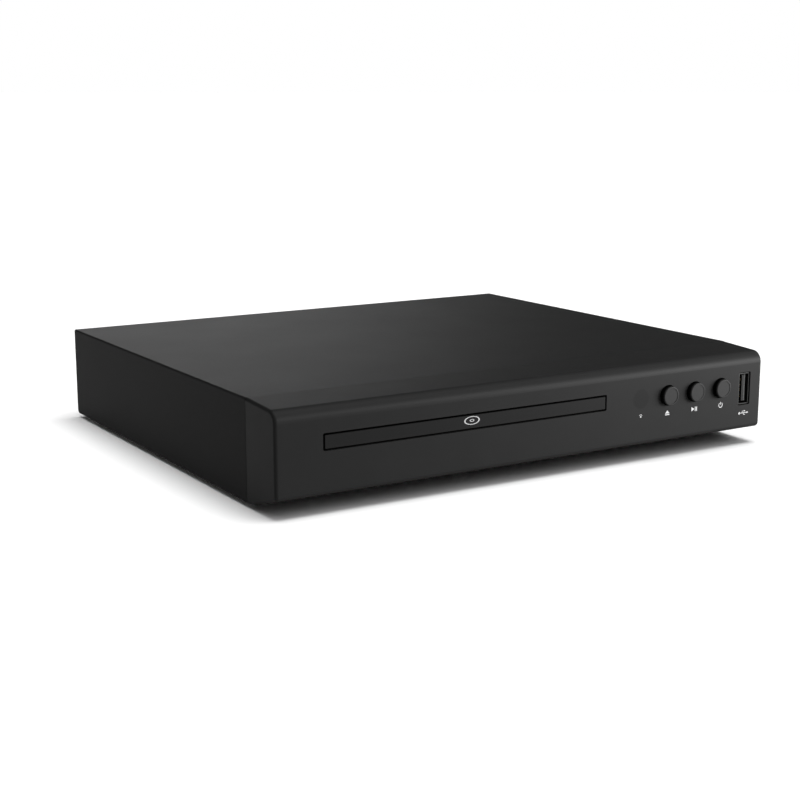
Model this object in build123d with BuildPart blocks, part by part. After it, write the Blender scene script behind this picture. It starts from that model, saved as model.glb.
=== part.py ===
from build123d import *
import os
from math import acos, atan2, ceil, cos, degrees, pi, radians, sin, sqrt, tan

# A disc player with a motorised tray. Millimetres, +X right seen from the
# front, +Y towards the back, +Z up, origin under the middle of the whole
# object, on the surface that its feet stand on.

os.makedirs("parts", exist_ok=True)

# ------------------------------------------------------------ housing sizes
left_margin = 19.025  # cover's left side to the tray's slot
controls_width = 83.625  # tray's slot to the cover's right side
rear_bay = 41.8  # back of the tray to the back of the cover
body_height = 38.5  # bottom edge of the cover to its top
foot_height = 2.0
sheet = 0.8  # steel of the cover and of the chassis
sheet_play = 0.2  # room between the cover and the chassis inside it
cover_bend = 0.8  # outside radius of the cover's long bends
cover_corner = 2.0  # rounding at the cover's rear bottom corners
rear_lip = 9.0  # the cover's lip over the rear panel
flange_height = 12.0  # folded sides of the chassis
seam_depth = 22.9  # face of the fascia to the edge of the cover
cover_screw_spacing = 92.0
cover_screw_hole = 3.2
pilot_hole = 2.4

button_proud = 2.2
jack_reach = 9.0  # audio and video jacks past the back of the cover

foot_diameter = 16.0
foot_stem = 4.0  # stem diameter, pushed through the chassis
foot_stem_play = 0.1
foot_stem_grip = 2.2  # stem above the chassis floor
foot_inset_x = 20.0
foot_inset_front = 14.0
foot_inset_back = 16.0

# ------------------------------------------------------------ fascia sizes
fascia_inset = 0.05  # fascia narrower than the cover, each side
fascia_wall = 2.2
brow_drop = 1.0  # fall of the brow from the seam to its rounding
brow_radius = 4.7
chin_height = 5.44  # front bottom edge above the cover's bottom edge
chin_depth = 17.5  # run of the sloping underside
chin_radius = 1.9
cheek_radius = 1.2
door_gap = 0.65  # between the door and its slot, all round
door_slot_bottom = 23.2
door_slot_radius = 0.6
slot_rim_wall = 1.4
slot_rim_depth = 2.3
brow_rib_count = 7
brow_rib_thickness = 1.2
brow_rib_drop = 2.0
clip_width = 12.0
clip_inset = 34.5  # of the outer two, from the cover's sides
clip_reach = 7.0
clip_thickness = 1.6
clip_catch = 1.2
clip_play = 0.3
side_clip_z = 20.0

# ------------------------------------------------------------ front controls
first_button_inset = 51.7  # from the cover's right side
button_pitch = 14.3
button_count = 3
button_drop = 14.5  # below the top of the cover
button_hole = 8.6
button_diameter = 7.7
button_travel = 0.5
button_flange = 10.6
button_flange_thick = 1.0
button_dish = 0.15
button_collar_wall = 1.1
button_collar_depth = 1.2
flange_play = 0.25
window_inset = 66.0
window_diameter = 8.0
window_flange = 10.4
usb_inset = 9.55
usb_drop = 1.65  # below the buttons
usb_hole_play = 0.4  # round the socket, each side
usb_shell_width = 5.7
usb_shell_height = 13.2
usb_shell_wall = 0.3
usb_recess = 0.5  # mouth of the socket behind the face
usb_tongue_width = 1.84
usb_tongue_height = 11.1
usb_tongue_shift = 0.95
usb_tongue_setback = 1.2
key_board_setback = 14.9  # face of the fascia to the face of the key board
key_board_left_inset = 72.5
key_board_right_inset = 4.5
key_board_bottom = 6.6
key_board_clear = 0.3  # under the ribs of the brow
board_thickness = 1.6
switch_width = 6.0
switch_body = 3.5
switch_plunger = 3.4
switch_play = 0.1
key_post_diameter = 5.0
key_post_inset = 2.8
receiver_width = 5.6
receiver_depth = 5.0
ribbon_width = 6.0
ribbon_thickness = 0.3
ribbon_inset = 70.0
ribbon_bend = 2.0

# ------------------------------------------------------------ tray and loader
disc_diameter = 120.0
disc_play = 1.5  # recess wider than the disc
tray_side = 1.65  # rim of the tray beside the recess
tray_play = 0.3  # over and under the tray, and beside it
tray_height = 5.7
tray_floor = 1.6
tray_underside = 1.5  # depth of the rails and rack under the floor
tray_tail = 89.15  # behind the spindle
tray_wall = 1.5
tray_corner = 3.0
door_overlap = 0.625  # door wider than the tray, each side
door_height = 5.2
door_thickness = 2.2
door_edge = 0.35
small_recess = 82.0
small_recess_depth = 0.7
disc_margin = 6.1  # recess edge to the front of the tray
spindle_slot = 38.0
tray_travel = 132.0
rail_width = 4.0

frame_wall = 2.0
frame_front_gap = 2.6  # fascia wall to the front of the loader frame
frame_back_gap = 4.0  # tray to the rear wall of the frame
frame_chin_gap = 0.6
ledge_width = 4.5
ledge_thickness = 1.6
hold_tab_width = 2.0
hold_tab_length = 12.0
hold_tab_thickness = 1.4
frame_foot_z = 6.0
deck_bottom = 14.0
deck_thickness = 1.6
deck_depth = 32.6
ear_reach = 8.0
ear_length = 11.0
ear_thickness = 2.0
ear_hole = 3.2
front_ear_y = 48.0  # behind the fascia's face
rear_ear_y = 151.0
boss_diameter = 8.0

# ------------------------------------------------------------ tray drive
rack_module = 1.0
rack_pinion_teeth = 20
train_module = 0.8
drive_wheel_teeth = 36
pulley_pinion_teeth = 12
addendum = 0.8  # in modules
dedendum = 1.1
pressure_angle = 20.0
backlash = 0.14
drive_gear_x = 40.0  # from the middle of the loader
drive_gear_y = 20.6  # behind the face of the fascia
rack_bar = 3.2
wheel_width = 2.3
gear_gap = 0.5
post_diameter = 3.0
post_play = 0.06
pulley_diameter = 26.0
pulley_width = 3.2
groove_depth = 1.1
belt_section = 1.4
belt_play = 0.08
motor_pulley_diameter = 8.2
loader_motor_x = -24.0
loader_motor_y = 30.0
motor_diameter = 24.0
motor_shaft = 2.0
motor_neck = 6.0
loader_motor_height = 9.3

# ------------------------------------------------------------ cam slider
slider_y = 38.6  # face of the fascia to the front of the slider
slider_thickness = 2.2
slider_length = 42.0
slider_x = -2.0  # left end at rest, from the middle of the loader
slider_height = 13.8
slider_travel = 16.0
slider_play = 0.25
slider_heel = 1.6  # under the slot
shelf_thickness = 1.4
cam_pin_x = 28.0
cam_pin_diameter = 2.6
cam_slot_play = 0.35
guide_lip = 1.2
guide_lip_height = 3.0

# ------------------------------------------------------------ traverse
play_lift = 0.8  # disc above the tray's floor while it plays
tilt_angle = 3.8
traverse_left = 38.0
traverse_right = 54.0
traverse_front = 23.0  # ahead of the spindle
traverse_back = 90.0  # behind the spindle
traverse_top = 22.4
traverse_plate = 1.4
traverse_skirt = 7.8
traverse_wall = 1.6
trunnion_diameter = 4.0
trunnion_back = 86.0  # behind the spindle
trunnion_z = 17.2
trunnion_length = 6.0
bush_diameter = 8.0
bush_play = 0.06
bracket_thickness = 4.0
bracket_side_play = 0.5
window_left = 15.5
window_right = 20.0
window_front = 13.0
window_back = 80.0
spindle_motor_height = 9.6
turntable_diameter = 28.0
turntable_flange = 1.2
pad_width = 4.8
pad_thickness = 0.4
hub_diameter = 14.8
hub_top_diameter = 11.5
hub_height = 1.7
clamper_diameter = 32.0
clamper_disc = 1.3
clamper_neck = 19.0
clamper_flange = 23.6
clamper_flange_thick = 1.4
clamper_lift = 0.2
disc_thickness = 1.2
clamp_plate_diameter = 16.0
clamp_plate_thickness = 0.8
bridge_thickness = 1.2
bridge_width = 29.0
bridge_lip = 3.0
bridge_play = 1.0
rod_diameter = 3.0
rod_left = -17.0
rod_right = 23.0
rod_z = 17.9
rod_play = 0.06
rod_block = 6.0
rod_block_length = 4.5
sled_front = 14.4  # behind the spindle, at the innermost track
sled_length = 26.0
sled_bottom = 14.3
sled_top = 20.4
sled_side = 3.6
sled_wall = 1.6
sled_travel = 36.0
lens_back = 24.0  # behind the spindle, at the innermost track
lens_guard_diameter = 12.0
lens_guard_height = 4.2
lens_diameter = 6.0
lens_rise = 0.5
feed_module = 0.6
feed_pinion_teeth = 16
feed_wheel_teeth = 40
feed_motor_teeth = 10
feed_gear_back = 46.0  # behind the spindle
feed_rack_thickness = 1.8
feed_rack_z = 18.4
feed_rack_margin = 2.0
feed_wheel_z = 11.3
feed_wheel_width = 1.8
feed_motor_angle = -50.0
feed_motor_diameter = 15.0
feed_motor_height = 6.4
feed_axle = 2.0

# ------------------------------------------------------------ electronics
standoff_height = 4.2
standoff_diameter = 6.0
board_inset = 4.0  # standoff centre to the board's edge
main_board_inset = 31.0  # from the cover's left side
board_gap = 4.0  # between the two boards
main_board_depth = 28.0
board_back_gap = 1.2
power_board_left_inset = 63.0  # from the cover's right side
power_board_right_inset = 5.0
power_board_front = 66.0  # behind the face of the fascia
jack_pitch = 14.0
jack_first_inset = 14.0  # from the main board's left edge
jack_z = 17.4
jack_block_depth = 12.0
jack_block_height = 16.0
jack_barrel = 8.3
jack_barrel_wall = 0.5
jack_insert = 7.1
jack_socket = 3.4
jack_socket_depth = 8.0
jack_hole = 10.4
jack_collar = 10.0
hdmi_inset = 74.0
hdmi_width = 15.0
hdmi_height = 5.6
hdmi_depth = 11.5
hdmi_wall = 0.4
hdmi_tongue_width = 11.0
hdmi_tongue_height = 1.2
panel_hole_play = 0.4
inlet_inset = 29.0  # from the cover's right side
inlet_width = 21.0
inlet_height = 14.0
inlet_depth = 18.0
inlet_flange = 2.0
inlet_flange_depth = 1.5
inlet_socket_width = 15.6
inlet_socket_height = 8.8
inlet_socket_depth = 12.0
inlet_pin_diameter = 2.4
inlet_pin_spacing = 8.6
inlet_pin_length = 9.0
chip_size = 20.0
chip_thickness = 1.4
small_chip = 9.0
sink_size = 18.0
sink_height = 8.0
sink_fins = 5
sink_fin_thickness = 1.2
sink_base = 2.0
capacitor_diameter = 6.3
capacitor_height = 9.0
transformer_width = 26.0
transformer_depth = 22.0
transformer_height = 17.0
transformer_core = 8.0
bulk_diameter = 16.0
bulk_height = 24.0
power_sink_width = 30.0
power_sink_height = 20.0
power_sink_thickness = 2.0
vent_count = 9
vent_width = 2.0
vent_length = 14.0
vent_pitch = 4.5

# ------------------------------------------------------------ screws
screw_diameter = 2.9
screw_head = 5.6
screw_head_height = 1.9
screw_length = 6.0
small_screw_diameter = 2.2
small_screw_head = 4.4
small_screw_head_height = 1.4
small_screw_length = 4.0
screw_play = 0.1

# ------------------------------------------------------------ placed from those
disc_recess = disc_diameter + disc_play
tray_width = disc_recess + 2 * tray_side
tray_length = disc_margin + disc_recess / 2 + tray_tail
door_width = tray_width + 2 * door_overlap
door_slot_width = door_width + 2 * door_gap
door_slot_height = door_height + 2 * door_gap
cover_width = left_margin + door_slot_width + controls_width
body_depth = door_thickness + tray_length + rear_bay
front_y = button_proud - (button_proud + body_depth + jack_reach) / 2
back_y = front_y + body_depth
seam_y = front_y + seam_depth
base_z = foot_height
floor_z = base_z + sheet
top_z = base_z + body_height
half_cover = cover_width / 2
door_slot_x = left_margin + door_slot_width / 2 - half_cover
half_fascia = half_cover - fascia_inset
half_chassis = half_cover - sheet - sheet_play
panel_y = back_y - sheet - sheet_play  # outside of the rear panel
panel_inside = panel_y - sheet
wall_back = front_y + fascia_wall
ceiling_z = top_z - sheet

tray_front = front_y + door_thickness
tray_back = tray_front + tray_length
tray_bottom = door_slot_bottom + tray_play
tray_floor_bottom = tray_bottom + tray_underside
tray_floor_top = tray_floor_bottom + tray_floor
tray_top = tray_bottom + tray_height
spindle_x = door_slot_x
spindle_y = tray_front + disc_margin + disc_recess / 2
disc_z = tray_floor_top + play_lift

frame_inner = tray_width / 2 + tray_play
frame_outer = frame_inner + frame_wall
frame_front = wall_back + frame_front_gap
frame_back = tray_back + frame_back_gap + frame_wall
frame_top = tray_top + tray_play + hold_tab_thickness
deck_top = deck_bottom + deck_thickness
ledge_top = tray_bottom - tray_play

drive_x = door_slot_x + drive_gear_x
drive_y = front_y + drive_gear_y
rack_pitch_x = drive_x + rack_module * rack_pinion_teeth / 2
train_distance = train_module * (drive_wheel_teeth + pulley_pinion_teeth) / 2
pulley_x = drive_x - train_distance
pulley_z = deck_top + gear_gap
train_z = pulley_z + pulley_width + gear_gap
pinion_z = train_z + wheel_width
pinion_top = tray_floor_bottom - tray_play
motor_x = door_slot_x + loader_motor_x
motor_y = front_y + loader_motor_y

trunnion_y = spindle_y + trunnion_back
cam_pin_z = trunnion_z
slider_front = front_y + slider_y
cam_pin_run = trunnion_y - slider_front - slider_thickness / 2
cam_drop = cam_pin_run * sin(radians(tilt_angle))
traverse_front_y = spindle_y - traverse_front
traverse_back_y = spindle_y + traverse_back
slider_bottom = cam_pin_z - cam_drop - cam_pin_diameter / 2 - cam_slot_play - slider_heel

button_z = top_z - button_drop
usb_z = button_z - usb_drop
first_button_x = half_cover - first_button_inset
window_x = half_cover - window_inset
usb_x = half_cover - usb_inset
usb_hole_width = usb_shell_width + 2 * usb_hole_play
usb_hole_height = usb_shell_height + 2 * usb_hole_play
key_board_left = half_cover - key_board_left_inset
key_board_right = half_cover - key_board_right_inset
ribbon_x = half_cover - ribbon_inset

main_board_left = main_board_inset - half_cover
power_board_left = half_cover - power_board_left_inset
power_board_right = half_cover - power_board_right_inset
main_board_right = power_board_left - board_gap
jack_first_x = main_board_left + jack_first_inset
hdmi_x = main_board_left + hdmi_inset
inlet_x = half_cover - inlet_inset
board_z = floor_z + standoff_height
board_top = board_z + board_thickness
board_back = panel_inside - board_back_gap
key_board_y = front_y + key_board_setback
key_board_top = top_z - fascia_wall - brow_rib_drop - key_board_clear


def tooth_points(teeth, module):
    """One spur gear tooth along +X: root, pitch and tip of both flanks."""
    pitch_radius = teeth * module / 2
    base_radius = pitch_radius * cos(radians(pressure_angle))
    half_tooth = (pi * module / 2 - backlash) / 2 / pitch_radius
    at_pitch = tan(radians(pressure_angle)) - radians(pressure_angle)
    root = pitch_radius - dedendum * module
    radii = (root, pitch_radius, pitch_radius + addendum * module)
    flank = []
    for radius in radii:
        turn = acos(min(base_radius / radius, 1))
        angle = half_tooth + at_pitch - (tan(turn) - turn)
        flank.append((radius, angle))
    upper = [(r * cos(a), r * sin(a)) for r, a in flank]
    lower = [(r * cos(a), -r * sin(a)) for r, a in reversed(flank)]
    return lower + upper


def gear_outline(teeth, module, phase=0.0):
    """Spur gear in the current sketch, with a tooth at the phase angle."""
    Circle(teeth * module / 2 - dedendum * module + backlash)
    with PolarLocations(0, teeth, start_angle=phase):
        Polygon(*tooth_points(teeth, module), align=None)


def rack_tooth(module, out):
    """One rack tooth, its pitch line at X 0 and its tip towards out."""
    half_pitch = (pi * module / 2 - backlash) / 2
    slope = tan(radians(pressure_angle))
    tip = addendum * module
    root = dedendum * module
    half_tip = half_pitch - tip * slope
    half_root = half_pitch + root * slope
    Polygon(
        (-out * root, -half_root),
        (out * tip, -half_tip),
        (out * tip, half_tip),
        (-out * root, half_root),
        align=None,
    )


def pan_screws(places, plane, diameter, head, head_height, length):
    """Pan-head screws with their heads' undersides on the plane."""
    with BuildPart() as screws:
        with BuildSketch(plane):
            with Locations(*places):
                Circle(head / 2)
        extrude(amount=head_height)
        rims = screws.edges().filter_by(GeomType.CIRCLE)
        tops = rims.filter_by(lambda rim: plane.to_local_coords(rim.center()).Z > head_height / 2)
        chamfer(tops, head_height / 3)
        with BuildSketch(plane):
            with Locations(*places):
                Circle(diameter / 2)
        extrude(amount=-length)
    return screws.part


def standing_plane(y):
    """Plane that faces the front at this Y, with X right and Y up."""
    return Plane.XZ.offset(-y)


# ================================================================ housing
# The top cover: one sheet bent down at both sides, with a lip at the back.
cover_screw_z = top_z - rear_lip / 2
cover_screw_places = [
    (-cover_screw_spacing, cover_screw_z),
    (0, cover_screw_z),
    (cover_screw_spacing, cover_screw_z),
]
with BuildPart() as top_cover:
    with BuildSketch(standing_plane(back_y)) as cover_section:
        with Locations((0, base_z)):
            Rectangle(cover_width, body_height, align=(Align.CENTER, Align.MIN))
        fillet(cover_section.vertices().group_by(Axis.Y)[-1], cover_bend)
    extrude(amount=back_y - seam_y)
    rear_corners = top_cover.edges().filter_by(Axis.X).group_by(Axis.Z)[0].sort_by(Axis.Y)[-1]
    fillet(rear_corners, cover_corner)
    with BuildSketch(standing_plane(back_y - sheet)):
        with Locations((0, base_z)):
            Rectangle(
                cover_width - 2 * sheet, body_height - sheet, align=(Align.CENTER, Align.MIN)
            )
    extrude(amount=back_y - seam_y, mode=Mode.SUBTRACT)
    with BuildSketch(standing_plane(back_y)):
        with Locations((0, base_z)):
            Rectangle(
                cover_width - 2 * sheet, body_height - rear_lip, align=(Align.CENTER, Align.MIN)
            )
    extrude(amount=2 * sheet, mode=Mode.SUBTRACT)
    with BuildSketch(standing_plane(back_y)):
        with Locations(*cover_screw_places):
            Circle(cover_screw_hole / 2)
    extrude(amount=2 * sheet, mode=Mode.SUBTRACT)
top_cover.part.label = "top_cover"
export_step(top_cover.part, "parts/top_cover.step")

# The chassis: a folded floor with low sides and a full rear panel, raised
# bosses for the loader and standoffs for the boards.
foot_front_y = seam_y + foot_inset_front
foot_back_y = back_y - foot_inset_back
foot_x = half_cover - foot_inset_x
foot_places = [
    (side * foot_x, y) for side in (-1, 1) for y in (foot_front_y, foot_back_y)
]
ear_x = frame_outer + ear_reach / 2
ear_places = [
    (door_slot_x + side * ear_x, front_y + y) for side in (-1, 1) for y in (front_ear_y, rear_ear_y)
]
main_board_front = board_back - main_board_depth
power_board_front_y = front_y + power_board_front
board_hole_places = [
    (x, y)
    for x in (main_board_left + board_inset, main_board_right - board_inset)
    for y in (main_board_front + board_inset, board_back - board_inset)
] + [
    (x, y)
    for x in (power_board_left + board_inset, power_board_right - board_inset)
    for y in (power_board_front_y + board_inset, board_back - board_inset)
]
jack_places = [(jack_first_x + step * jack_pitch, jack_z) for step in range(3)]
hdmi_z = board_top + hdmi_height / 2
inlet_z = board_top + inlet_height / 2
clip_places = [clip_inset - half_cover, door_slot_x, half_cover - clip_inset]
with BuildPart() as base_chassis:
    with BuildSketch(Plane.XY.offset(base_z)):
        with Locations((0, seam_y + sheet_play)):
            Rectangle(
                2 * half_chassis, panel_y - seam_y - sheet_play, align=(Align.CENTER, Align.MIN)
            )
    extrude(amount=ceiling_z - sheet_play - base_z)
    with BuildSketch(Plane.XY.offset(floor_z)):
        with Locations((0, seam_y)):
            Rectangle(
                2 * (half_chassis - sheet), panel_inside - seam_y, align=(Align.CENTER, Align.MIN)
            )
    extrude(amount=body_height, mode=Mode.SUBTRACT)
    with BuildSketch(Plane.XY.offset(floor_z + flange_height)):
        with Locations((0, seam_y)):
            Rectangle(cover_width, panel_inside - seam_y, align=(Align.CENTER, Align.MIN))
    extrude(amount=body_height, mode=Mode.SUBTRACT)
    with BuildSketch(Plane.XY.offset(base_z)):
        with Locations(*ear_places):
            Circle(boss_diameter / 2)
    extrude(amount=frame_foot_z - base_z)
    with BuildSketch(Plane.XY.offset(base_z)):
        with Locations(*board_hole_places):
            Circle(standoff_diameter / 2)
    extrude(amount=board_z - base_z)
    with BuildSketch(Plane.XY.offset(base_z)):
        with Locations(*ear_places, *board_hole_places):
            Circle(pilot_hole / 2)
        with Locations(*foot_places):
            Circle(foot_stem / 2 + foot_stem_play)
    extrude(amount=body_height, mode=Mode.SUBTRACT)
    with BuildSketch(standing_plane(panel_y)):
        with Locations(*cover_screw_places):
            Circle(pilot_hole / 2)
        with Locations(*jack_places):
            Circle(jack_hole / 2)
        with Locations((hdmi_x, hdmi_z)):
            Rectangle(hdmi_width + panel_hole_play, hdmi_height + panel_hole_play)
        with Locations((inlet_x, inlet_z)):
            Rectangle(inlet_width + panel_hole_play, inlet_height + panel_hole_play)
        with Locations((inlet_x - inlet_width - vent_pitch * vent_count / 2, inlet_z)):
            with GridLocations(vent_pitch, 0, vent_count, 1):
                SlotOverall(vent_length, vent_width, rotation=90)
    extrude(amount=sheet, mode=Mode.SUBTRACT)
    side_windows = clip_width + 2 * clip_play
    with BuildSketch(Plane.XY.offset(base_z)):
        with Locations(*[(x, seam_y + clip_reach) for x in clip_places]):
            Rectangle(side_windows, clip_reach, align=(Align.CENTER, Align.MAX))
    extrude(amount=sheet, mode=Mode.SUBTRACT)
base_chassis.part.label = "base_chassis"
export_step(base_chassis.part, "parts/base_chassis.step")

# Four rubber feet, pushed up through the floor by their stems.
with BuildPart() as rubber_feet:
    with BuildSketch(Plane.XY):
        with Locations(*foot_places):
            Circle(foot_diameter / 2)
    extrude(amount=foot_height)
    chamfer(rubber_feet.edges().group_by(Axis.Z)[0], foot_height / 4)
    with BuildSketch(Plane.XY.offset(foot_height)):
        with Locations(*foot_places):
            Circle(foot_stem / 2)
    extrude(amount=sheet + foot_stem_grip)
rubber_feet.part.label = "rubber_feet"
export_step(rubber_feet.part, "parts/rubber_feet.step")

cover_screws = pan_screws(
    [(-x, z) for x, z in cover_screw_places],
    Plane.XZ.rotated((0, 0, 180)).offset(back_y),
    pilot_hole - screw_play,
    screw_head,
    screw_head_height,
    screw_length,
)
cover_screws.label = "cover_screws"
export_step(cover_screws, "parts/cover_screws.step")


# The fascia: a moulded shell, open behind, with a brow that slopes down to a
# rounded front and a chin that slopes back to a knee.
def fascia_outline(inset):
    """Side view of the fascia in the current sketch, X towards the back."""
    front = front_y + inset
    brow_fall = brow_drop * seam_depth / (seam_depth - brow_radius)
    Polygon(
        (seam_y, top_z - inset),
        (front, top_z - brow_fall - inset),
        (front, base_z + chin_height + inset),
        (front_y + chin_depth, base_z + inset),
        (seam_y, base_z + inset),
        align=None,
    )


button_places = [(first_button_x + step * button_pitch, button_z) for step in range(button_count)]
key_post_places = [
    (key_board_left + key_post_inset, key_board_bottom + key_post_inset),
    (key_board_left + key_post_inset, key_board_top - key_post_inset),
    (usb_x - usb_shell_height, key_board_bottom + key_post_inset),
]
door_slot_z = door_slot_bottom + door_slot_height / 2
with BuildPart() as front_fascia:
    with BuildSketch(Plane.YZ.offset(-half_fascia)) as side_view:
        fascia_outline(0)
        front_corners = side_view.vertices().group_by(Axis.X)[0].sort_by(Axis.Y)
        fillet(front_corners[-1], brow_radius)
        front_corners = side_view.vertices().group_by(Axis.X)[0].sort_by(Axis.Y)
        fillet(front_corners[0], chin_radius)
    extrude(amount=2 * half_fascia)
    end_faces = front_fascia.faces().filter_by(Axis.X)
    seam_edges = end_faces.edges().filter_by(lambda edge: edge.center().Y > seam_y - cheek_radius)
    under_edges = end_faces.edges().filter_by(lambda edge: edge.center().Z < base_z + cheek_radius)
    cheek_edges = [
        edge for edge in end_faces.edges() if edge not in seam_edges and edge not in under_edges
    ]
    fillet(cheek_edges, cheek_radius)
    with BuildSketch(Plane.YZ.offset(-half_fascia + fascia_wall)) as inner_view:
        fascia_outline(fascia_wall)
        inner_corner = inner_view.vertices().group_by(Axis.X)[0].sort_by(Axis.Y)[-1]
        fillet(inner_corner, brow_radius - fascia_wall)
    extrude(amount=2 * (half_fascia - fascia_wall), mode=Mode.SUBTRACT)
    # Ribs under the brow, and the rim round the tray's slot.
    with BuildSketch(Plane.XY.offset(top_z - fascia_wall - brow_rib_drop)):
        with Locations((0, seam_y - seam_depth / 2 + fascia_wall)):
            with GridLocations(cover_width / brow_rib_count, 0, brow_rib_count, 1):
                Rectangle(brow_rib_thickness, seam_depth - 4 * fascia_wall)
    extrude(amount=brow_rib_drop + fascia_wall / 2)
    with BuildSketch(standing_plane(wall_back + slot_rim_depth)):
        with Locations((door_slot_x, door_slot_z)):
            RectangleRounded(
                door_slot_width + 2 * slot_rim_wall,
                door_slot_height + 2 * slot_rim_wall,
                slot_rim_wall,
            )
    extrude(amount=slot_rim_depth)
    # Collars round the buttons, posts for the key board, clips behind.
    with BuildSketch(standing_plane(wall_back + button_collar_depth)):
        with Locations(*button_places):
            Circle(button_flange / 2 + button_collar_wall + flange_play)
    extrude(amount=button_collar_depth)
    with BuildSketch(standing_plane(key_board_y)):
        with Locations(*key_post_places):
            Circle(key_post_diameter / 2)
    extrude(amount=key_board_y - wall_back)
    with BuildSketch(standing_plane(seam_y + clip_reach - clip_play)):
        with Locations(*[(x, floor_z + clip_play) for x in clip_places]):
            Rectangle(clip_width, clip_thickness, align=(Align.CENTER, Align.MIN))
        for side in (-1, 1):
            with Locations((side * (half_chassis - sheet - clip_play - clip_thickness / 2), side_clip_z)):
                Rectangle(clip_thickness, clip_width)
    extrude(amount=clip_reach + fascia_wall * 2)
    with BuildSketch(standing_plane(seam_y + clip_reach - clip_play)):
        with Locations(*[(x, floor_z + clip_play) for x in clip_places]):
            Rectangle(clip_width, sheet + clip_play, align=(Align.CENTER, Align.MAX))
    extrude(amount=clip_catch)
    # Openings through the front wall.
    with BuildSketch(standing_plane(wall_back + slot_rim_depth)):
        with Locations((door_slot_x, door_slot_z)):
            RectangleRounded(door_slot_width, door_slot_height, door_slot_radius)
        with Locations(*button_places):
            Circle(button_hole / 2)
        with Locations((window_x, button_z)):
            Circle(window_diameter / 2)
        with Locations((usb_x, usb_z)):
            RectangleRounded(usb_hole_width, usb_hole_height, door_slot_radius)
    extrude(amount=slot_rim_depth + fascia_wall, mode=Mode.SUBTRACT)
    with BuildSketch(standing_plane(wall_back + button_collar_depth)):
        with Locations(*button_places):
            Circle(button_flange / 2 + flange_play)
    extrude(amount=button_collar_depth, mode=Mode.SUBTRACT)
    with BuildSketch(standing_plane(key_board_y)):
        with Locations(*key_post_places):
            Circle(small_screw_diameter / 2)
    extrude(amount=small_screw_length, mode=Mode.SUBTRACT)
front_fascia.part.label = "front_fascia"
export_step(front_fascia.part, "parts/front_fascia.step")

# ================================================================ controls
# Push buttons: a dished cap through the front wall, a flange that holds it
# in, and a stem that reaches its switch.
switch_y = key_board_y - switch_body
stem_end = switch_y - switch_plunger - switch_play


def push_button(place):
    """One button at rest, its flange against the inside of the front wall."""
    with BuildPart() as button:
        with BuildSketch(standing_plane(wall_back + flange_play)):
            with Locations(place):
                Circle(button_diameter / 2)
        extrude(amount=fascia_wall + flange_play + button_proud)
        rim = button.edges().filter_by(GeomType.CIRCLE).sort_by(Axis.Y)[0]
        fillet(rim, button_dish * 2)
        with BuildSketch(standing_plane(wall_back + flange_play + button_flange_thick)):
            with Locations(place):
                Circle(button_flange / 2)
        extrude(amount=button_flange_thick)
        with BuildSketch(standing_plane(stem_end)):
            with Locations(place):
                Rectangle(button_diameter / 3, button_diameter / 3)
        extrude(amount=stem_end - wall_back - flange_play)
        with BuildSketch(standing_plane(front_y - button_proud)):
            with Locations(place):
                Circle(button_diameter / 2 - button_dish * 4)
        extrude(amount=-button_dish, mode=Mode.SUBTRACT)
    return button.part


eject_button = push_button(button_places[0])
eject_button.label = "eject_button"
export_step(eject_button, "parts/eject_button.step")
play_button = push_button(button_places[1])
play_button.label = "play_button"
export_step(play_button, "parts/play_button.step")
power_button = push_button(button_places[2])
power_button.label = "power_button"
export_step(power_button, "parts/power_button.step")

# Infrared window, flush with the face, flanged behind it.
with BuildPart() as ir_window:
    with BuildSketch(standing_plane(wall_back)):
        with Locations((window_x, button_z)):
            Circle(window_diameter / 2)
    extrude(amount=fascia_wall)
    with BuildSketch(standing_plane(wall_back + button_flange_thick)):
        with Locations((window_x, button_z)):
            Circle(window_flange / 2)
    extrude(amount=button_flange_thick)
ir_window.part.label = "ir_window"
export_step(ir_window.part, "parts/ir_window.step")

# The key board stands behind the fascia and carries all front controls.
with BuildPart() as key_board:
    with BuildSketch(standing_plane(key_board_y + board_thickness)):
        with Locations((key_board_left, key_board_bottom)):
            Rectangle(
                key_board_right - key_board_left,
                key_board_top - key_board_bottom,
                align=(Align.MIN, Align.MIN),
            )
        with Locations(*key_post_places):
            Circle(small_screw_diameter / 2 + screw_play, mode=Mode.SUBTRACT)
    extrude(amount=board_thickness)
key_board.part.label = "key_board"
export_step(key_board.part, "parts/key_board.step")

key_board_screws = pan_screws(
    [(-x, z) for x, z in key_post_places],
    Plane.XZ.rotated((0, 0, 180)).offset(key_board_y + board_thickness),
    small_screw_diameter - screw_play,
    small_screw_head,
    small_screw_head_height,
    small_screw_length,
)
key_board_screws.label = "key_board_screws"
export_step(key_board_screws, "parts/key_board_screws.step")

with BuildPart() as tact_switches:
    with BuildSketch(standing_plane(key_board_y)):
        with Locations(*button_places):
            Rectangle(switch_width, switch_width)
    extrude(amount=switch_body)
    with BuildSketch(standing_plane(switch_y)):
        with Locations(*button_places):
            Circle(switch_width / 4)
    extrude(amount=switch_plunger - button_travel)
tact_switches.part.label = "tact_switches"
export_step(tact_switches.part, "parts/tact_switches.step")

with BuildPart() as ir_receiver:
    with BuildSketch(standing_plane(key_board_y)):
        with Locations((window_x, button_z)):
            Rectangle(receiver_width, receiver_width)
    extrude(amount=receiver_depth)
    with BuildSketch(standing_plane(key_board_y - receiver_depth)):
        with Locations((window_x, button_z)):
            Circle(receiver_width / 2 - usb_shell_wall)
    extrude(amount=receiver_depth / 3, taper=20)
ir_receiver.part.label = "ir_receiver"
export_step(ir_receiver.part, "parts/ir_receiver.step")

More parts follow.
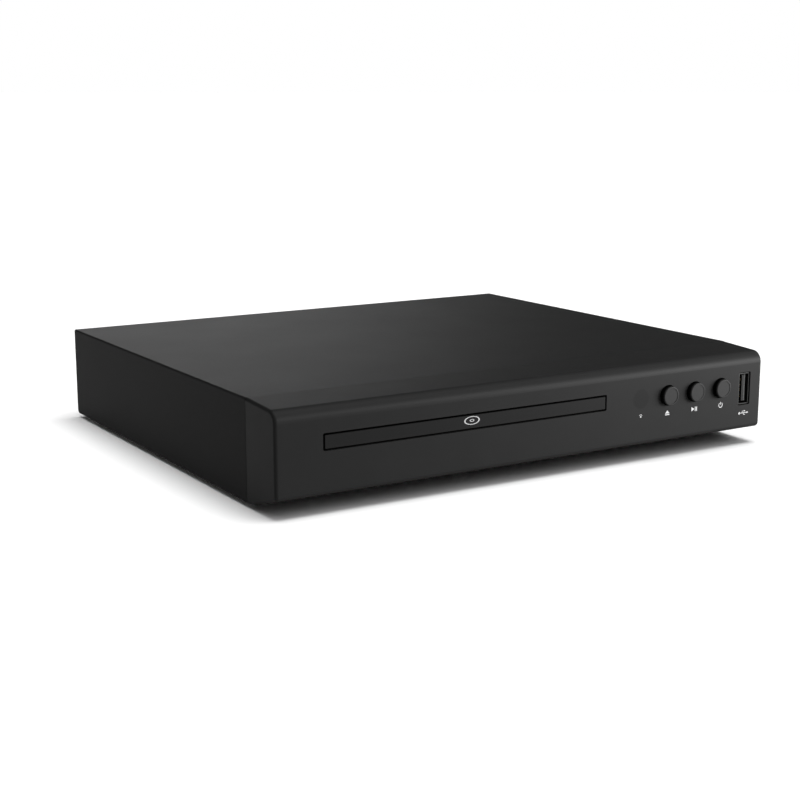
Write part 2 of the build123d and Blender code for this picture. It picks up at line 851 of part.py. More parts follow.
# Upright USB socket: a folded metal shell round an insulating tongue.
usb_mouth = front_y + usb_recess
with BuildPart() as usb_shell:
    with BuildSketch(standing_plane(key_board_y)):
        with Locations((usb_x, usb_z)):
            RectangleRounded(usb_shell_width, usb_shell_height, usb_shell_wall * 2)
    extrude(amount=key_board_y - usb_mouth)
    with BuildSketch(standing_plane(key_board_y - sheet)):
        with Locations((usb_x, usb_z)):
            Rectangle(
                usb_shell_width - 2 * usb_shell_wall, usb_shell_height - 2 * usb_shell_wall
            )
    extrude(amount=key_board_setback, mode=Mode.SUBTRACT)
usb_shell.part.label = "usb_shell"
export_step(usb_shell.part, "parts/usb_shell.step")

with BuildPart() as usb_tongue:
    with BuildSketch(standing_plane(key_board_y - sheet)):
        with Locations((usb_x + usb_tongue_shift, usb_z)):
            Rectangle(usb_tongue_width, usb_tongue_height)
    extrude(amount=key_board_y - sheet - usb_mouth - usb_tongue_setback)
    with BuildSketch(standing_plane(key_board_y - sheet)):
        with Locations((usb_x, usb_z)):
            Rectangle(
                usb_shell_width - 2 * usb_shell_wall, usb_shell_height - 2 * usb_shell_wall
            )
    extrude(amount=sheet)
usb_tongue.part.label = "usb_tongue"
export_step(usb_tongue.part, "parts/usb_tongue.step")

# Flat ribbon from the key board along the floor to the main board.
ribbon_start = key_board_y + board_thickness
ribbon_drop_y = seam_y + 2 * ribbon_bend
ribbon_start_z = key_board_bottom + 2 * key_post_diameter
ribbon_end = main_board_front - ribbon_thickness
ribbon_low = floor_z + ribbon_thickness
with BuildPart() as key_ribbon:
    with BuildLine(Plane.YZ.offset(ribbon_x)) as ribbon_path:
        FilletPolyline(
            (ribbon_start, ribbon_start_z),
            (ribbon_drop_y, ribbon_start_z),
            (ribbon_drop_y, ribbon_low),
            (ribbon_end - ribbon_bend * 2, ribbon_low),
            (ribbon_end - ribbon_bend * 2, board_top - board_thickness / 2),
            (ribbon_end, board_top - board_thickness / 2),
            radius=ribbon_bend - ribbon_thickness,
        )
    with BuildSketch(Plane(ribbon_path.line @ 0, x_dir=(1, 0, 0), z_dir=(0, 1, 0))):
        Rectangle(ribbon_width, ribbon_thickness)
    sweep()
key_ribbon.part.label = "key_ribbon"
export_step(key_ribbon.part, "parts/key_ribbon.step")

# ================================================================ tray
# The tray's door, a plate that closes the slot flush with the face.
with BuildPart() as tray_door:
    with BuildSketch(standing_plane(tray_front)):
        with Locations((door_slot_x, door_slot_z)):
            RectangleRounded(door_width, door_height, door_edge)
    extrude(amount=door_thickness)
    front_rim = tray_door.faces().sort_by(Axis.Y)[0].edges()
    chamfer(front_rim, door_edge / 2)
tray_door.part.label = "tray_door"
export_step(tray_door.part, "parts/tray_door.step")

# The tray: a thin moulding with a recess for each disc size, pockets under
# its corners, rails and a rack under its floor, and a slot for the spindle
# and the pickup that is open to the rear.
rack_pitch = rack_module * pi
rack_first = ceil((tray_front + door_thickness - drive_y) / rack_pitch)
rack_last = int((tray_back - drive_y) / rack_pitch) - 1
rack_teeth_y = [drive_y + (step + 0.5) * rack_pitch for step in range(rack_first, rack_last)]
tray_middle_y = tray_front + tray_length / 2
slot_length = tray_back - spindle_y
with BuildPart() as disc_tray:
    with BuildSketch(Plane.XY.offset(tray_bottom)):
        with Locations((spindle_x, tray_middle_y)):
            RectangleRounded(tray_width, tray_length, tray_corner)
    extrude(amount=tray_height)
    # Pockets under the corners leave a skin and a wall round the recess.
    with BuildSketch(Plane.XY.offset(tray_bottom)):
        with Locations((spindle_x, tray_middle_y)):
            Rectangle(tray_width - 2 * rail_width, tray_length - 2 * tray_wall)
        with Locations((spindle_x, spindle_y)):
            Circle(disc_recess / 2 + tray_wall, mode=Mode.SUBTRACT)
        with Locations((spindle_x, spindle_y)):
            Rectangle(
                spindle_slot + 2 * tray_wall,
                slot_length,
                align=(Align.CENTER, Align.MIN),
                mode=Mode.SUBTRACT,
            )
    extrude(amount=tray_height - tray_wall, mode=Mode.SUBTRACT)
    # Under the floor only the two rails and the front wall come down.
    with BuildSketch(Plane.XY.offset(tray_bottom)):
        with Locations((spindle_x, tray_middle_y + tray_wall)):
            Rectangle(tray_width - 2 * rail_width, tray_length)
    extrude(amount=tray_underside, mode=Mode.SUBTRACT)
    # The rack hangs from the floor on the right.
    with BuildSketch(Plane.XY.offset(tray_bottom)):
        with Locations((rack_pitch_x + dedendum * rack_module, tray_middle_y)):
            Rectangle(rack_bar, tray_length - 2 * tray_corner, align=(Align.MIN, Align.CENTER))
        with Locations(*[(rack_pitch_x, y) for y in rack_teeth_y]):
            rack_tooth(rack_module, -1)
    extrude(amount=tray_underside + tray_floor / 2)
    with BuildSketch(Plane.XY.offset(tray_bottom + tray_underside)):
        with Locations((rack_pitch_x + dedendum * rack_module, tray_middle_y)):
            Rectangle(tray_wall, tray_length - 2 * tray_corner, align=(Align.MIN, Align.CENTER))
    extrude(amount=tray_height - tray_underside - tray_wall / 2)
    # Recesses for a full and a small disc, then the open slot.
    with BuildSketch(Plane.XY.offset(tray_floor_top)):
        with Locations((spindle_x, spindle_y)):
            Circle(disc_recess / 2)
    extrude(amount=tray_height, mode=Mode.SUBTRACT)
    with BuildSketch(Plane.XY.offset(tray_floor_top - small_recess_depth)):
        with Locations((spindle_x, spindle_y)):
            Circle(small_recess / 2)
    extrude(amount=tray_height, mode=Mode.SUBTRACT)
    with BuildSketch(Plane.XY.offset(tray_bottom)):
        with Locations((spindle_x, spindle_y)):
            Circle(spindle_slot / 2)
            Rectangle(spindle_slot, slot_length + tray_wall, align=(Align.CENTER, Align.MIN))
    extrude(amount=tray_height, mode=Mode.SUBTRACT)
disc_tray.part.label = "disc_tray"
export_step(disc_tray.part, "parts/disc_tray.step")

# ================================================================ loader frame
# Two channels that guide the tray, a deck for its drive, a shelf for the cam
# slider and a rear wall with the brackets of the traverse.
deck_back = front_y + deck_depth + fascia_wall
shelf_top = slider_bottom - slider_play
shelf_back = slider_front + slider_thickness + slider_play + guide_lip
bracket_places = [
    spindle_x - traverse_left - bracket_side_play - bracket_thickness / 2,
    spindle_x + traverse_right + bracket_side_play + bracket_thickness / 2,
]
frame_length = frame_back - frame_front
hold_tab_places = [frame_front + hold_tab_length, spindle_y + 2 * bridge_width, tray_back - hold_tab_length]
bridge_boss_x = frame_outer + ear_reach / 2
chin_slope = chin_height / (chin_depth - fascia_wall)
chin_clear_back = front_y + chin_depth + (fascia_wall + frame_chin_gap) / chin_slope
chin_clear_top = base_z + chin_slope * (chin_clear_back - front_y)
with BuildPart() as loader_frame:
    for side in (-1, 1):
        with BuildSketch(Plane.XY.offset(frame_foot_z)):
            with Locations((spindle_x + side * (frame_inner + frame_wall / 2), frame_front)):
                Rectangle(frame_wall, frame_length, align=(Align.CENTER, Align.MIN))
        extrude(amount=frame_top - frame_foot_z)
        with BuildSketch(Plane.XY.offset(ledge_top - ledge_thickness)):
            with Locations((spindle_x + side * (frame_inner - ledge_width / 2), frame_front)):
                Rectangle(ledge_width, frame_length, align=(Align.CENTER, Align.MIN))
        extrude(amount=ledge_thickness)
        with BuildSketch(Plane.XY.offset(frame_top - hold_tab_thickness)):
            tab_x = spindle_x + side * (frame_inner - hold_tab_width / 2)
            with Locations(*[(tab_x, y) for y in hold_tab_places]):
                Rectangle(hold_tab_width, hold_tab_length)
        extrude(amount=hold_tab_thickness)
    # Screw ears low down, and bosses for the bridge at the spindle.
    with BuildSketch(Plane.XY.offset(frame_foot_z)):
        with Locations(*ear_places):
            Rectangle(ear_reach, ear_length)
    extrude(amount=ear_thickness)
    with BuildSketch(Plane.XY.offset(ledge_top - ledge_thickness)):
        for side in (-1, 1):
            with Locations((spindle_x + side * bridge_boss_x, spindle_y)):
                Rectangle(ear_reach, ear_length)
    extrude(amount=frame_top - ledge_top + ledge_thickness)
    # Deck, the guard wall under its rear edge, and the slider's shelf.
    with BuildSketch(Plane.XY.offset(deck_bottom)):
        with Locations((spindle_x, frame_front)):
            Rectangle(2 * frame_inner, deck_back - frame_front, align=(Align.CENTER, Align.MIN))
    extrude(amount=deck_thickness)
    shelf_left = spindle_x + slider_x - guide_lip_height
    shelf_right = spindle_x + frame_inner
    with BuildSketch(Plane.XY.offset(shelf_top - shelf_thickness)):
        with Locations((shelf_left, deck_back)):
            Rectangle(shelf_right - shelf_left, shelf_back - deck_back, align=(Align.MIN, Align.MIN))
        with Locations((shelf_left, deck_back)):
            Rectangle(shelf_right - shelf_left, frame_wall, align=(Align.MIN, Align.MAX))
    extrude(amount=shelf_thickness)
    with BuildSketch(Plane.XY.offset(shelf_top - shelf_thickness)):
        with Locations((shelf_left, deck_back)):
            Rectangle(shelf_right - shelf_left, frame_wall, align=(Align.MIN, Align.MAX))
    extrude(amount=deck_top - shelf_top + shelf_thickness)
    with BuildSketch(Plane.XY.offset(shelf_top)):
        for lip_x in (shelf_left, shelf_right - guide_lip_height):
            with Locations((lip_x, shelf_back)):
                Rectangle(guide_lip_height, guide_lip, align=(Align.MIN, Align.MAX))
    extrude(amount=guide_lip_height)
    # Posts for the two gears of the drive.
    with BuildSketch(Plane.XY.offset(deck_bottom)):
        with Locations((drive_x, drive_y), (pulley_x, drive_y)):
            Circle(post_diameter)
    extrude(amount=deck_thickness + gear_gap / 2)
    with BuildSketch(Plane.XY.offset(deck_top)):
        with Locations((drive_x, drive_y), (pulley_x, drive_y)):
            Circle(post_diameter / 2)
    extrude(amount=pinion_z - deck_top)
    # Rear wall, its foot, and the brackets for the traverse's bushes.
    with BuildSketch(Plane.XY.offset(frame_foot_z)):
        with Locations((spindle_x, frame_back)):
            Rectangle(2 * frame_inner, frame_wall, align=(Align.CENTER, Align.MAX))
    extrude(amount=tray_top - frame_foot_z)
    bracket_top = ledge_top - ledge_thickness
    with BuildSketch(Plane.XY.offset(frame_foot_z)):
        for x in bracket_places:
            with Locations((x, frame_back)):
                Rectangle(
                    bracket_thickness,
                    frame_back - trunnion_y + bush_diameter,
                    align=(Align.CENTER, Align.MAX),
                )
    extrude(amount=bracket_top - frame_foot_z)
    with BuildSketch(Plane.YZ.offset(bracket_places[0] - bracket_thickness)):
        with Locations((trunnion_y, trunnion_z)):
            Circle(bush_diameter / 2)
    extrude(
        amount=bracket_places[1] - bracket_places[0] + 2 * bracket_thickness, mode=Mode.SUBTRACT
    )
    # The front ends of the channels slope up to clear the fascia's chin.
    with BuildSketch(Plane.YZ.offset(spindle_x - frame_outer)):
        Polygon(
            (front_y, base_z),
            (chin_clear_back, base_z),
            (front_y, chin_clear_top),
            align=None,
        )
    extrude(amount=2 * frame_outer, mode=Mode.SUBTRACT)
    # Holes: screws, the motor's neck.
    with BuildSketch(Plane.XY.offset(frame_foot_z)):
        with Locations(*ear_places):
            Circle(ear_hole / 2)
    extrude(amount=ear_thickness, mode=Mode.SUBTRACT)
    with BuildSketch(Plane.XY.offset(frame_top)):
        for side in (-1, 1):
            with Locations((spindle_x + side * bridge_boss_x, spindle_y)):
                Circle(pilot_hole / 2)
    extrude(amount=-screw_length - screw_play, mode=Mode.SUBTRACT)
    with BuildSketch(Plane.XY.offset(deck_bottom)):
        with Locations((motor_x, motor_y)):
            Circle(motor_neck / 2 + tray_play)
    extrude(amount=deck_thickness, mode=Mode.SUBTRACT)
loader_frame.part.label = "loader_frame"
export_step(loader_frame.part, "parts/loader_frame.step")

loader_screws = pan_screws(
    ear_places,
    Plane.XY.offset(frame_foot_z + ear_thickness),
    pilot_hole - screw_play,
    screw_head,
    screw_head_height,
    ear_thickness + boss_diameter / 2 - sheet,
)
loader_screws.label = "loader_screws"
export_step(loader_screws, "parts/loader_screws.step")

# ================================================================ clamp
# The bridge over the tray: a pressed strap with turned-up edges.
bridge_z = frame_top
with BuildPart() as clamp_bridge:
    with BuildSketch(Plane.XY.offset(bridge_z)):
        with Locations((spindle_x, spindle_y)):
            Rectangle(2 * (frame_outer + ear_reach), bridge_width)
    extrude(amount=bridge_thickness)
    with BuildSketch(Plane.XY.offset(bridge_z)):
        for side in (-1, 1):
            with Locations((spindle_x, spindle_y + side * (bridge_width - bridge_thickness) / 2)):
                Rectangle(2 * frame_inner, bridge_thickness)
    extrude(amount=bridge_lip)
    with BuildSketch(Plane.XY.offset(bridge_z)):
        with Locations((spindle_x, spindle_y)):
            Circle(clamper_neck / 2 + bridge_play)
        for side in (-1, 1):
            with Locations((spindle_x + side * bridge_boss_x, spindle_y)):
                Circle(cover_screw_hole / 2)
    extrude(amount=bridge_lip, mode=Mode.SUBTRACT)
clamp_bridge.part.label = "clamp_bridge"
export_step(clamp_bridge.part, "parts/clamp_bridge.step")

bridge_screws = pan_screws(
    [(spindle_x + side * bridge_boss_x, spindle_y) for side in (-1, 1)],
    Plane.XY.offset(bridge_z + bridge_thickness),
    pilot_hole - screw_play,
    screw_head,
    screw_head_height,
    screw_length,
)
bridge_screws.label = "bridge_screws"
export_step(bridge_screws, "parts/bridge_screws.step")

# The clamper, turned about the spindle's axis: a disc under the bridge, a
# neck through it and a flange that hangs on it.
clamper_bottom = disc_z + disc_thickness + clamper_lift
clamper_top = bridge_z + bridge_thickness + bridge_play + clamper_flange_thick
magnet_z = disc_z + hub_height + clamper_lift * 2
with BuildPart() as clamper:
    with BuildSketch(Plane.XZ.offset(-spindle_y)):
        with BuildLine():
            Polyline(
                (spindle_x, magnet_z + clamp_plate_thickness),
                (spindle_x + clamp_plate_diameter / 2, magnet_z + clamp_plate_thickness),
                (spindle_x + clamp_plate_diameter / 2, clamper_bottom),
                (spindle_x + clamper_diameter / 2, clamper_bottom),
                (spindle_x + clamper_diameter / 2, clamper_bottom + clamper_disc),
                (spindle_x + clamper_neck / 2, clamper_bottom + clamper_disc),
                (spindle_x + clamper_neck / 2, clamper_top - clamper_flange_thick),
                (spindle_x + clamper_flange / 2, clamper_top - clamper_flange_thick),
                (spindle_x + clamper_flange / 2, clamper_top),
                (spindle_x, clamper_top),
                close=True,
            )
        make_face()
    revolve(axis=Axis((spindle_x, spindle_y, 0), (0, 0, 1)))
clamper.part.label = "clamper"
export_step(clamper.part, "parts/clamper.step")

with BuildPart() as clamp_plate:
    with BuildSketch(Plane.XY.offset(magnet_z)):
        with Locations((spindle_x, spindle_y)):
            Circle(clamp_plate_diameter / 2)
    extrude(amount=clamp_plate_thickness)
clamp_plate.part.label = "clamp_plate"
export_step(clamp_plate.part, "parts/clamp_plate.step")

# ================================================================ tray drive
# Loader motor under the deck, with a neck through it.
with BuildPart() as loader_motor:
    with BuildSketch(Plane.XY.offset(deck_bottom)):
        with Locations((motor_x, motor_y)):
            Circle(motor_diameter / 2)
    extrude(amount=-loader_motor_height)
    chamfer(loader_motor.edges().group_by(Axis.Z)[0], sheet)
    with BuildSketch(Plane.XY.offset(deck_bottom)):
        with Locations((motor_x, motor_y)):
            Circle(motor_neck / 2)
    extrude(amount=deck_thickness)
    with BuildSketch(Plane.XY.offset(deck_top)):
        with Locations((motor_x, motor_y)):
            Circle(motor_shaft / 2 + post_play)
    extrude(amount=-deck_thickness - pulley_width, mode=Mode.SUBTRACT)
loader_motor.part.label = "loader_motor"
export_step(loader_motor.part, "parts/loader_motor.step")


def grooved_pulley(x, z, diameter, bore):
    """Half section of a grooved pulley, for a turn about its axis."""
    outer = diameter / 2
    groove = (pulley_width - belt_section) / 2 - belt_play
    Polygon(
        (x + bore, z),
        (x + outer, z),
        (x + outer, z + groove),
        (x + outer - groove_depth, z + groove),
        (x + outer - groove_depth, z + pulley_width - groove),
        (x + outer, z + pulley_width - groove),
        (x + outer, z + pulley_width),
        (x + bore, z + pulley_width),
        align=None,
    )


with BuildPart() as motor_pulley:
    with BuildSketch(Plane.XZ.offset(-motor_y)):
        grooved_pulley(motor_x, pulley_z, motor_pulley_diameter, 0)
    revolve(axis=Axis((motor_x, motor_y, 0), (0, 0, 1)))
    with BuildSketch(Plane.XY.offset(pulley_z)):
        with Locations((motor_x, motor_y)):
            Circle(motor_shaft / 2)
    extrude(amount=-deck_thickness - gear_gap - sheet)
motor_pulley.part.label = "motor_pulley"
export_step(motor_pulley.part, "parts/motor_pulley.step")

# Pulley gear: a grooved pulley under the pinion that turns the drive gear.
pulley_bore = post_diameter / 2 + post_play
with BuildPart() as pulley_gear:
    with BuildSketch(Plane.XZ.offset(-drive_y)):
        grooved_pulley(pulley_x, pulley_z, pulley_diameter, pulley_bore)
    revolve(axis=Axis((pulley_x, drive_y, 0), (0, 0, 1)))
    with BuildSketch(Plane.XY.offset(pulley_z + pulley_width)):
        with Locations((pulley_x, drive_y)):
            gear_outline(pulley_pinion_teeth, train_module, 180 / pulley_pinion_teeth)
            Circle(pulley_bore, mode=Mode.SUBTRACT)
    extrude(amount=pinion_z - pulley_z - pulley_width)
pulley_gear.part.label = "pulley_gear"
export_step(pulley_gear.part, "parts/pulley_gear.step")

# Drive gear: the wheel under the tray and the pinion that meets its rack.
with BuildPart() as drive_gear:
    with BuildSketch(Plane.XY.offset(train_z)):
        with Locations((drive_x, drive_y)):
            gear_outline(drive_wheel_teeth, train_module)
    extrude(amount=wheel_width)
    with BuildSketch(Plane.XY.offset(pinion_z)):
        with Locations((drive_x, drive_y)):
            gear_outline(rack_pinion_teeth, rack_module)
    extrude(amount=pinion_top - pinion_z)
    with BuildSketch(Plane.XY.offset(deck_top + gear_gap)):
        with Locations((drive_x, drive_y)):
            Circle(post_diameter)
    extrude(amount=train_z - deck_top - gear_gap)
    with BuildSketch(Plane.XY.offset(deck_top)):
        with Locations((drive_x, drive_y)):
            Circle(post_diameter / 2 + post_play)
    extrude(amount=pinion_z + post_play - deck_top, mode=Mode.SUBTRACT)
drive_gear.part.label = "drive_gear"
export_step(drive_gear.part, "parts/drive_gear.step")

# The belt: straight runs tangent to both pulleys, joined round each.
belt_inner_far = pulley_diameter / 2 - groove_depth + belt_play
belt_inner_near = motor_pulley_diameter / 2 - groove_depth + belt_play
belt_run = sqrt((pulley_x - motor_x) ** 2 + (drive_y - motor_y) ** 2)
belt_heading = degrees(atan2(drive_y - motor_y, pulley_x - motor_x))
belt_plane = Plane(
    origin=(motor_x, motor_y, pulley_z + (pulley_width - belt_section) / 2),
    x_dir=(cos(radians(belt_heading)), sin(radians(belt_heading)), 0),
    z_dir=(0, 0, 1),
)


def belt_outline(near_radius, far_radius, mode):
    """Both pulleys' circles and the run between them, in the belt's plane."""
    lean = acos((near_radius - far_radius) / belt_run)
    near = (near_radius * cos(lean), near_radius * sin(lean))
    far = (belt_run + far_radius * cos(lean), far_radius * sin(lean))
    Polygon(near, (near[0], -near[1]), (far[0], -far[1]), far, align=None, mode=mode)
    Circle(near_radius, mode=mode)
    with Locations((belt_run, 0)):
        Circle(far_radius, mode=mode)


with BuildPart() as drive_belt:
    with BuildSketch(belt_plane):
        belt_outline(belt_inner_near + belt_section, belt_inner_far + belt_section, Mode.ADD)
        belt_outline(belt_inner_near, belt_inner_far, Mode.SUBTRACT)
    extrude(amount=belt_section)
drive_belt.part.label = "drive_belt"
export_step(drive_belt.part, "parts/drive_belt.step")

# Cam slider: a plate on edge whose sloping slot carries the traverse's pin.
slot_width = cam_pin_diameter + cam_slot_play
cam_slope = degrees(atan2(cam_drop, slider_travel))
cam_run = sqrt(cam_drop**2 + slider_travel**2)
cam_x = spindle_x + cam_pin_x
with BuildPart() as cam_slider:
    with BuildSketch(standing_plane(slider_front + slider_thickness)):
        with Locations((spindle_x + slider_x, slider_bottom)):
            Rectangle(slider_length, slider_height, align=(Align.MIN, Align.MIN))
        with Locations((cam_x - slider_travel / 2, cam_pin_z - cam_drop / 2)):
            SlotCenterToCenter(cam_run, slot_width, rotation=cam_slope, mode=Mode.SUBTRACT)
    extrude(amount=slider_thickness)
cam_slider.part.label = "cam_slider"
export_step(cam_slider.part, "parts/cam_slider.step")

# ================================================================ traverse
# The traverse: an inverted moulded tray with a window for the sled, blocks
# for the rods, trunnions at the rear and a pin at the front.
rod_front_y = spindle_y + window_front - rod_block_length
rod_back_y = spindle_y + window_back
rod_length = rod_back_y + rod_block_length - rod_front_y
motor_seat = traverse_top - traverse_wall
feed_rack_pitch_x = spindle_x + rod_right + sled_side + dedendum * feed_module + sled_wall
feed_x = feed_rack_pitch_x + feed_module * feed_pinion_teeth / 2
feed_y = spindle_y + feed_gear_back
with BuildPart() as traverse_frame:
    with BuildSketch(Plane.XY.offset(traverse_top)) as traverse_outline:
        with Locations((spindle_x - traverse_left, traverse_front_y)):
            Rectangle(
                traverse_left + traverse_right,
                traverse_front + traverse_back,
                align=(Align.MIN, Align.MIN),
            )
        fillet(traverse_outline.vertices(), tray_corner)
    extrude(amount=-traverse_skirt)
    offset(
        amount=-traverse_wall, openings=traverse_frame.faces().sort_by(Axis.Z)[0]
    )
    with BuildSketch(Plane.XY.offset(traverse_top - traverse_wall)):
        with Locations((spindle_x - window_left, spindle_y + window_front)):
            Rectangle(
                window_left + window_right, window_back - window_front, align=(Align.MIN, Align.MIN)
            )
        with Locations((spindle_x, spindle_y)):
            Circle(motor_neck / 2 + tray_play)
    extrude(amount=traverse_wall, mode=Mode.SUBTRACT)
    for rod_x in (rod_left, rod_right):
        for block_y in (rod_front_y, rod_back_y):
            with BuildSketch(Plane.XY.offset(rod_z - rod_block / 2)):
                with Locations((spindle_x + rod_x, block_y)):
                    Rectangle(rod_block, rod_block_length, align=(Align.CENTER, Align.MIN))
            extrude(amount=traverse_top - traverse_wall - rod_z + rod_block / 2)
    with BuildSketch(standing_plane(rod_front_y)):
        with Locations((spindle_x + rod_left, rod_z), (spindle_x + rod_right, rod_z)):
            Circle(rod_diameter / 2)
    extrude(amount=-rod_length, mode=Mode.SUBTRACT)
    # Trunnions on both sides at the rear.
    for side, edge in ((-1, -traverse_left), (1, traverse_right)):
        with BuildSketch(Plane.YZ.offset(spindle_x + edge - side * traverse_wall)):
            with Locations((trunnion_y, trunnion_z)):
                Circle(trunnion_diameter / 2)
        extrude(amount=side * (trunnion_length + traverse_wall - bracket_side_play))
    # The feed gear's axle, and the lifting pin at the front.
    with BuildSketch(Plane.XY.offset(feed_wheel_z)):
        with Locations((feed_x, feed_y)):
            Circle(feed_axle / 2)
    extrude(amount=motor_seat - feed_wheel_z)
    with BuildSketch(standing_plane(traverse_front_y + traverse_wall)):
        with Locations((cam_x, cam_pin_z)):
            Circle(cam_pin_diameter / 2)
    extrude(amount=traverse_front_y + traverse_wall - slider_front)
traverse_frame.part.label = "traverse_frame"
export_step(traverse_frame.part, "parts/traverse_frame.step")

with BuildPart() as damper_bushes:
    with BuildSketch(Plane.YZ.offset(bracket_places[0] - bracket_thickness / 2)):
        with Locations((trunnion_y, trunnion_z)):
            Circle(bush_diameter / 2)
            Circle(trunnion_diameter / 2 + bush_play, mode=Mode.SUBTRACT)
    extrude(amount=bracket_thickness)
    with BuildSketch(Plane.YZ.offset(bracket_places[1] - bracket_thickness / 2)):
        with Locations((trunnion_y, trunnion_z)):
            Circle(bush_diameter / 2)
            Circle(trunnion_diameter / 2 + bush_play, mode=Mode.SUBTRACT)
    extrude(amount=bracket_thickness)
damper_bushes.part.label = "damper_bushes"
export_step(damper_bushes.part, "parts/damper_bushes.step")

# Spindle motor, hung under the plate, with a bore for the turntable's shaft.
with BuildPart() as spindle_motor:
    with BuildSketch(Plane.XY.offset(motor_seat)):
        with Locations((spindle_x, spindle_y)):
            Circle(motor_diameter / 2)
    extrude(amount=-spindle_motor_height)
    chamfer(spindle_motor.edges().group_by(Axis.Z)[0], sheet)
    with BuildSketch(Plane.XY.offset(motor_seat)):
        with Locations((spindle_x, spindle_y)):
            Circle(motor_neck / 2)
    extrude(amount=traverse_wall)
    with BuildSketch(Plane.XY.offset(traverse_top)):
        with Locations((spindle_x, spindle_y)):
            Circle(motor_shaft / 2 + post_play)
    extrude(amount=-spindle_motor_height, mode=Mode.SUBTRACT)
spindle_motor.part.label = "spindle_motor"
export_step(spindle_motor.part, "parts/spindle_motor.step")

# Turntable: shaft, boss, flange and the tapered hub that centres a disc.
flange_top = disc_z - pad_thickness
shaft_bottom = traverse_top - spindle_motor_height / 2
with BuildPart() as turntable:
    with BuildSketch(Plane.XZ.offset(-spindle_y)):
        with BuildLine():
            Polyline(
                (spindle_x, shaft_bottom),
                (spindle_x + motor_shaft / 2, shaft_bottom),
                (spindle_x + motor_shaft / 2, traverse_top + gear_gap),
                (spindle_x + motor_neck / 2, traverse_top + gear_gap),
                (spindle_x + motor_neck / 2, flange_top - turntable_flange),
                (spindle_x + turntable_diameter / 2, flange_top - turntable_flange),
                (spindle_x + turntable_diameter / 2, flange_top),
                (spindle_x + hub_diameter / 2, flange_top),
                (spindle_x + hub_diameter / 2, disc_z + disc_thickness / 3),
                (spindle_x + hub_top_diameter / 2, disc_z + hub_height),
                (spindle_x, disc_z + hub_height),
                close=True,
            )
        make_face()
    revolve(axis=Axis((spindle_x, spindle_y, 0), (0, 0, 1)))
turntable.part.label = "turntable"
export_step(turntable.part, "parts/turntable.step")

with BuildPart() as disc_pad:
    with BuildSketch(Plane.XY.offset(flange_top)):
        with Locations((spindle_x, spindle_y)):
            Circle(turntable_diameter / 2)
            Circle(turntable_diameter / 2 - pad_width, mode=Mode.SUBTRACT)
    extrude(amount=pad_thickness)
disc_pad.part.label = "disc_pad"
export_step(disc_pad.part, "parts/disc_pad.step")

with BuildPart() as guide_rods:
    with BuildSketch(standing_plane(rod_front_y)):
        with Locations((spindle_x + rod_left, rod_z), (spindle_x + rod_right, rod_z)):
            Circle(rod_diameter / 2)
    extrude(amount=-rod_length)
guide_rods.part.label = "guide_rods"
export_step(guide_rods.part, "parts/guide_rods.step")

# Pickup sled: a cast body on two rods, hollow below, with its rack on the
# right. The left rod has a close bore and the right one an oblong hole.
feed_pitch = feed_module * pi
feed_back_teeth = ceil(feed_rack_margin / feed_pitch)
feed_front_teeth = ceil((sled_travel + feed_rack_margin) / feed_pitch)
feed_teeth_y = [
    feed_y + (step + 0.5) * feed_pitch for step in range(-feed_front_teeth, feed_back_teeth)
]
feed_rack_front = feed_teeth_y[0] - feed_pitch / 2
feed_rack_length = feed_teeth_y[-1] + feed_pitch / 2 - feed_rack_front
sled_left_x = spindle_x + rod_left - sled_side
sled_right_x = spindle_x + rod_right + sled_side
sled_y = spindle_y + sled_front
with BuildPart() as pickup_sled:
    with BuildSketch(Plane.XY.offset(sled_bottom)) as sled_outline:
        with Locations((sled_left_x, sled_y)):
            Rectangle(sled_right_x - sled_left_x, sled_length, align=(Align.MIN, Align.MIN))
    extrude(amount=sled_top - sled_bottom)
    with BuildSketch(Plane.XY.offset(sled_bottom)):
        with Locations((spindle_x + (rod_left + rod_right) / 2, sled_y + sled_wall)):
            Rectangle(
                rod_right - rod_left - 2 * sled_side,
                sled_length - 2 * sled_wall,
                align=(Align.CENTER, Align.MIN),
            )
    extrude(amount=sled_top - sled_bottom - sled_wall, mode=Mode.SUBTRACT)
    with BuildSketch(Plane.XY.offset(feed_rack_z)):
        with Locations((feed_rack_pitch_x - dedendum * feed_module, feed_rack_front)):
            Rectangle(sled_wall, feed_rack_length, align=(Align.MAX, Align.MIN))
        with Locations(*[(feed_rack_pitch_x, y) for y in feed_teeth_y]):
            rack_tooth(feed_module, 1)
    extrude(amount=feed_rack_thickness)
    with BuildSketch(standing_plane(sled_y)):
        with Locations((spindle_x + rod_left, rod_z)):
            Circle(rod_diameter / 2 + rod_play)
        with Locations((spindle_x + rod_right, rod_z)):
            SlotOverall(rod_diameter + 2 * rod_play + sheet, rod_diameter + 2 * rod_play)
    extrude(amount=-sled_length, mode=Mode.SUBTRACT)
pickup_sled.part.label = "pickup_sled"
export_step(pickup_sled.part, "parts/pickup_sled.step")

lens_y = spindle_y + lens_back
with BuildPart() as lens_guard:
    with BuildSketch(Plane.XY.offset(sled_top)):
        with Locations((spindle_x, lens_y)):
            Circle(lens_guard_diameter / 2)
    extrude(amount=lens_guard_height)
    chamfer(lens_guard.edges().group_by(Axis.Z)[-1], sheet)
    with BuildSketch(Plane.XY.offset(sled_top)):
        with Locations((spindle_x, lens_y)):
            Circle(lens_diameter / 2)
    extrude(amount=lens_guard_height, mode=Mode.SUBTRACT)
lens_guard.part.label = "lens_guard"
export_step(lens_guard.part, "parts/lens_guard.step")

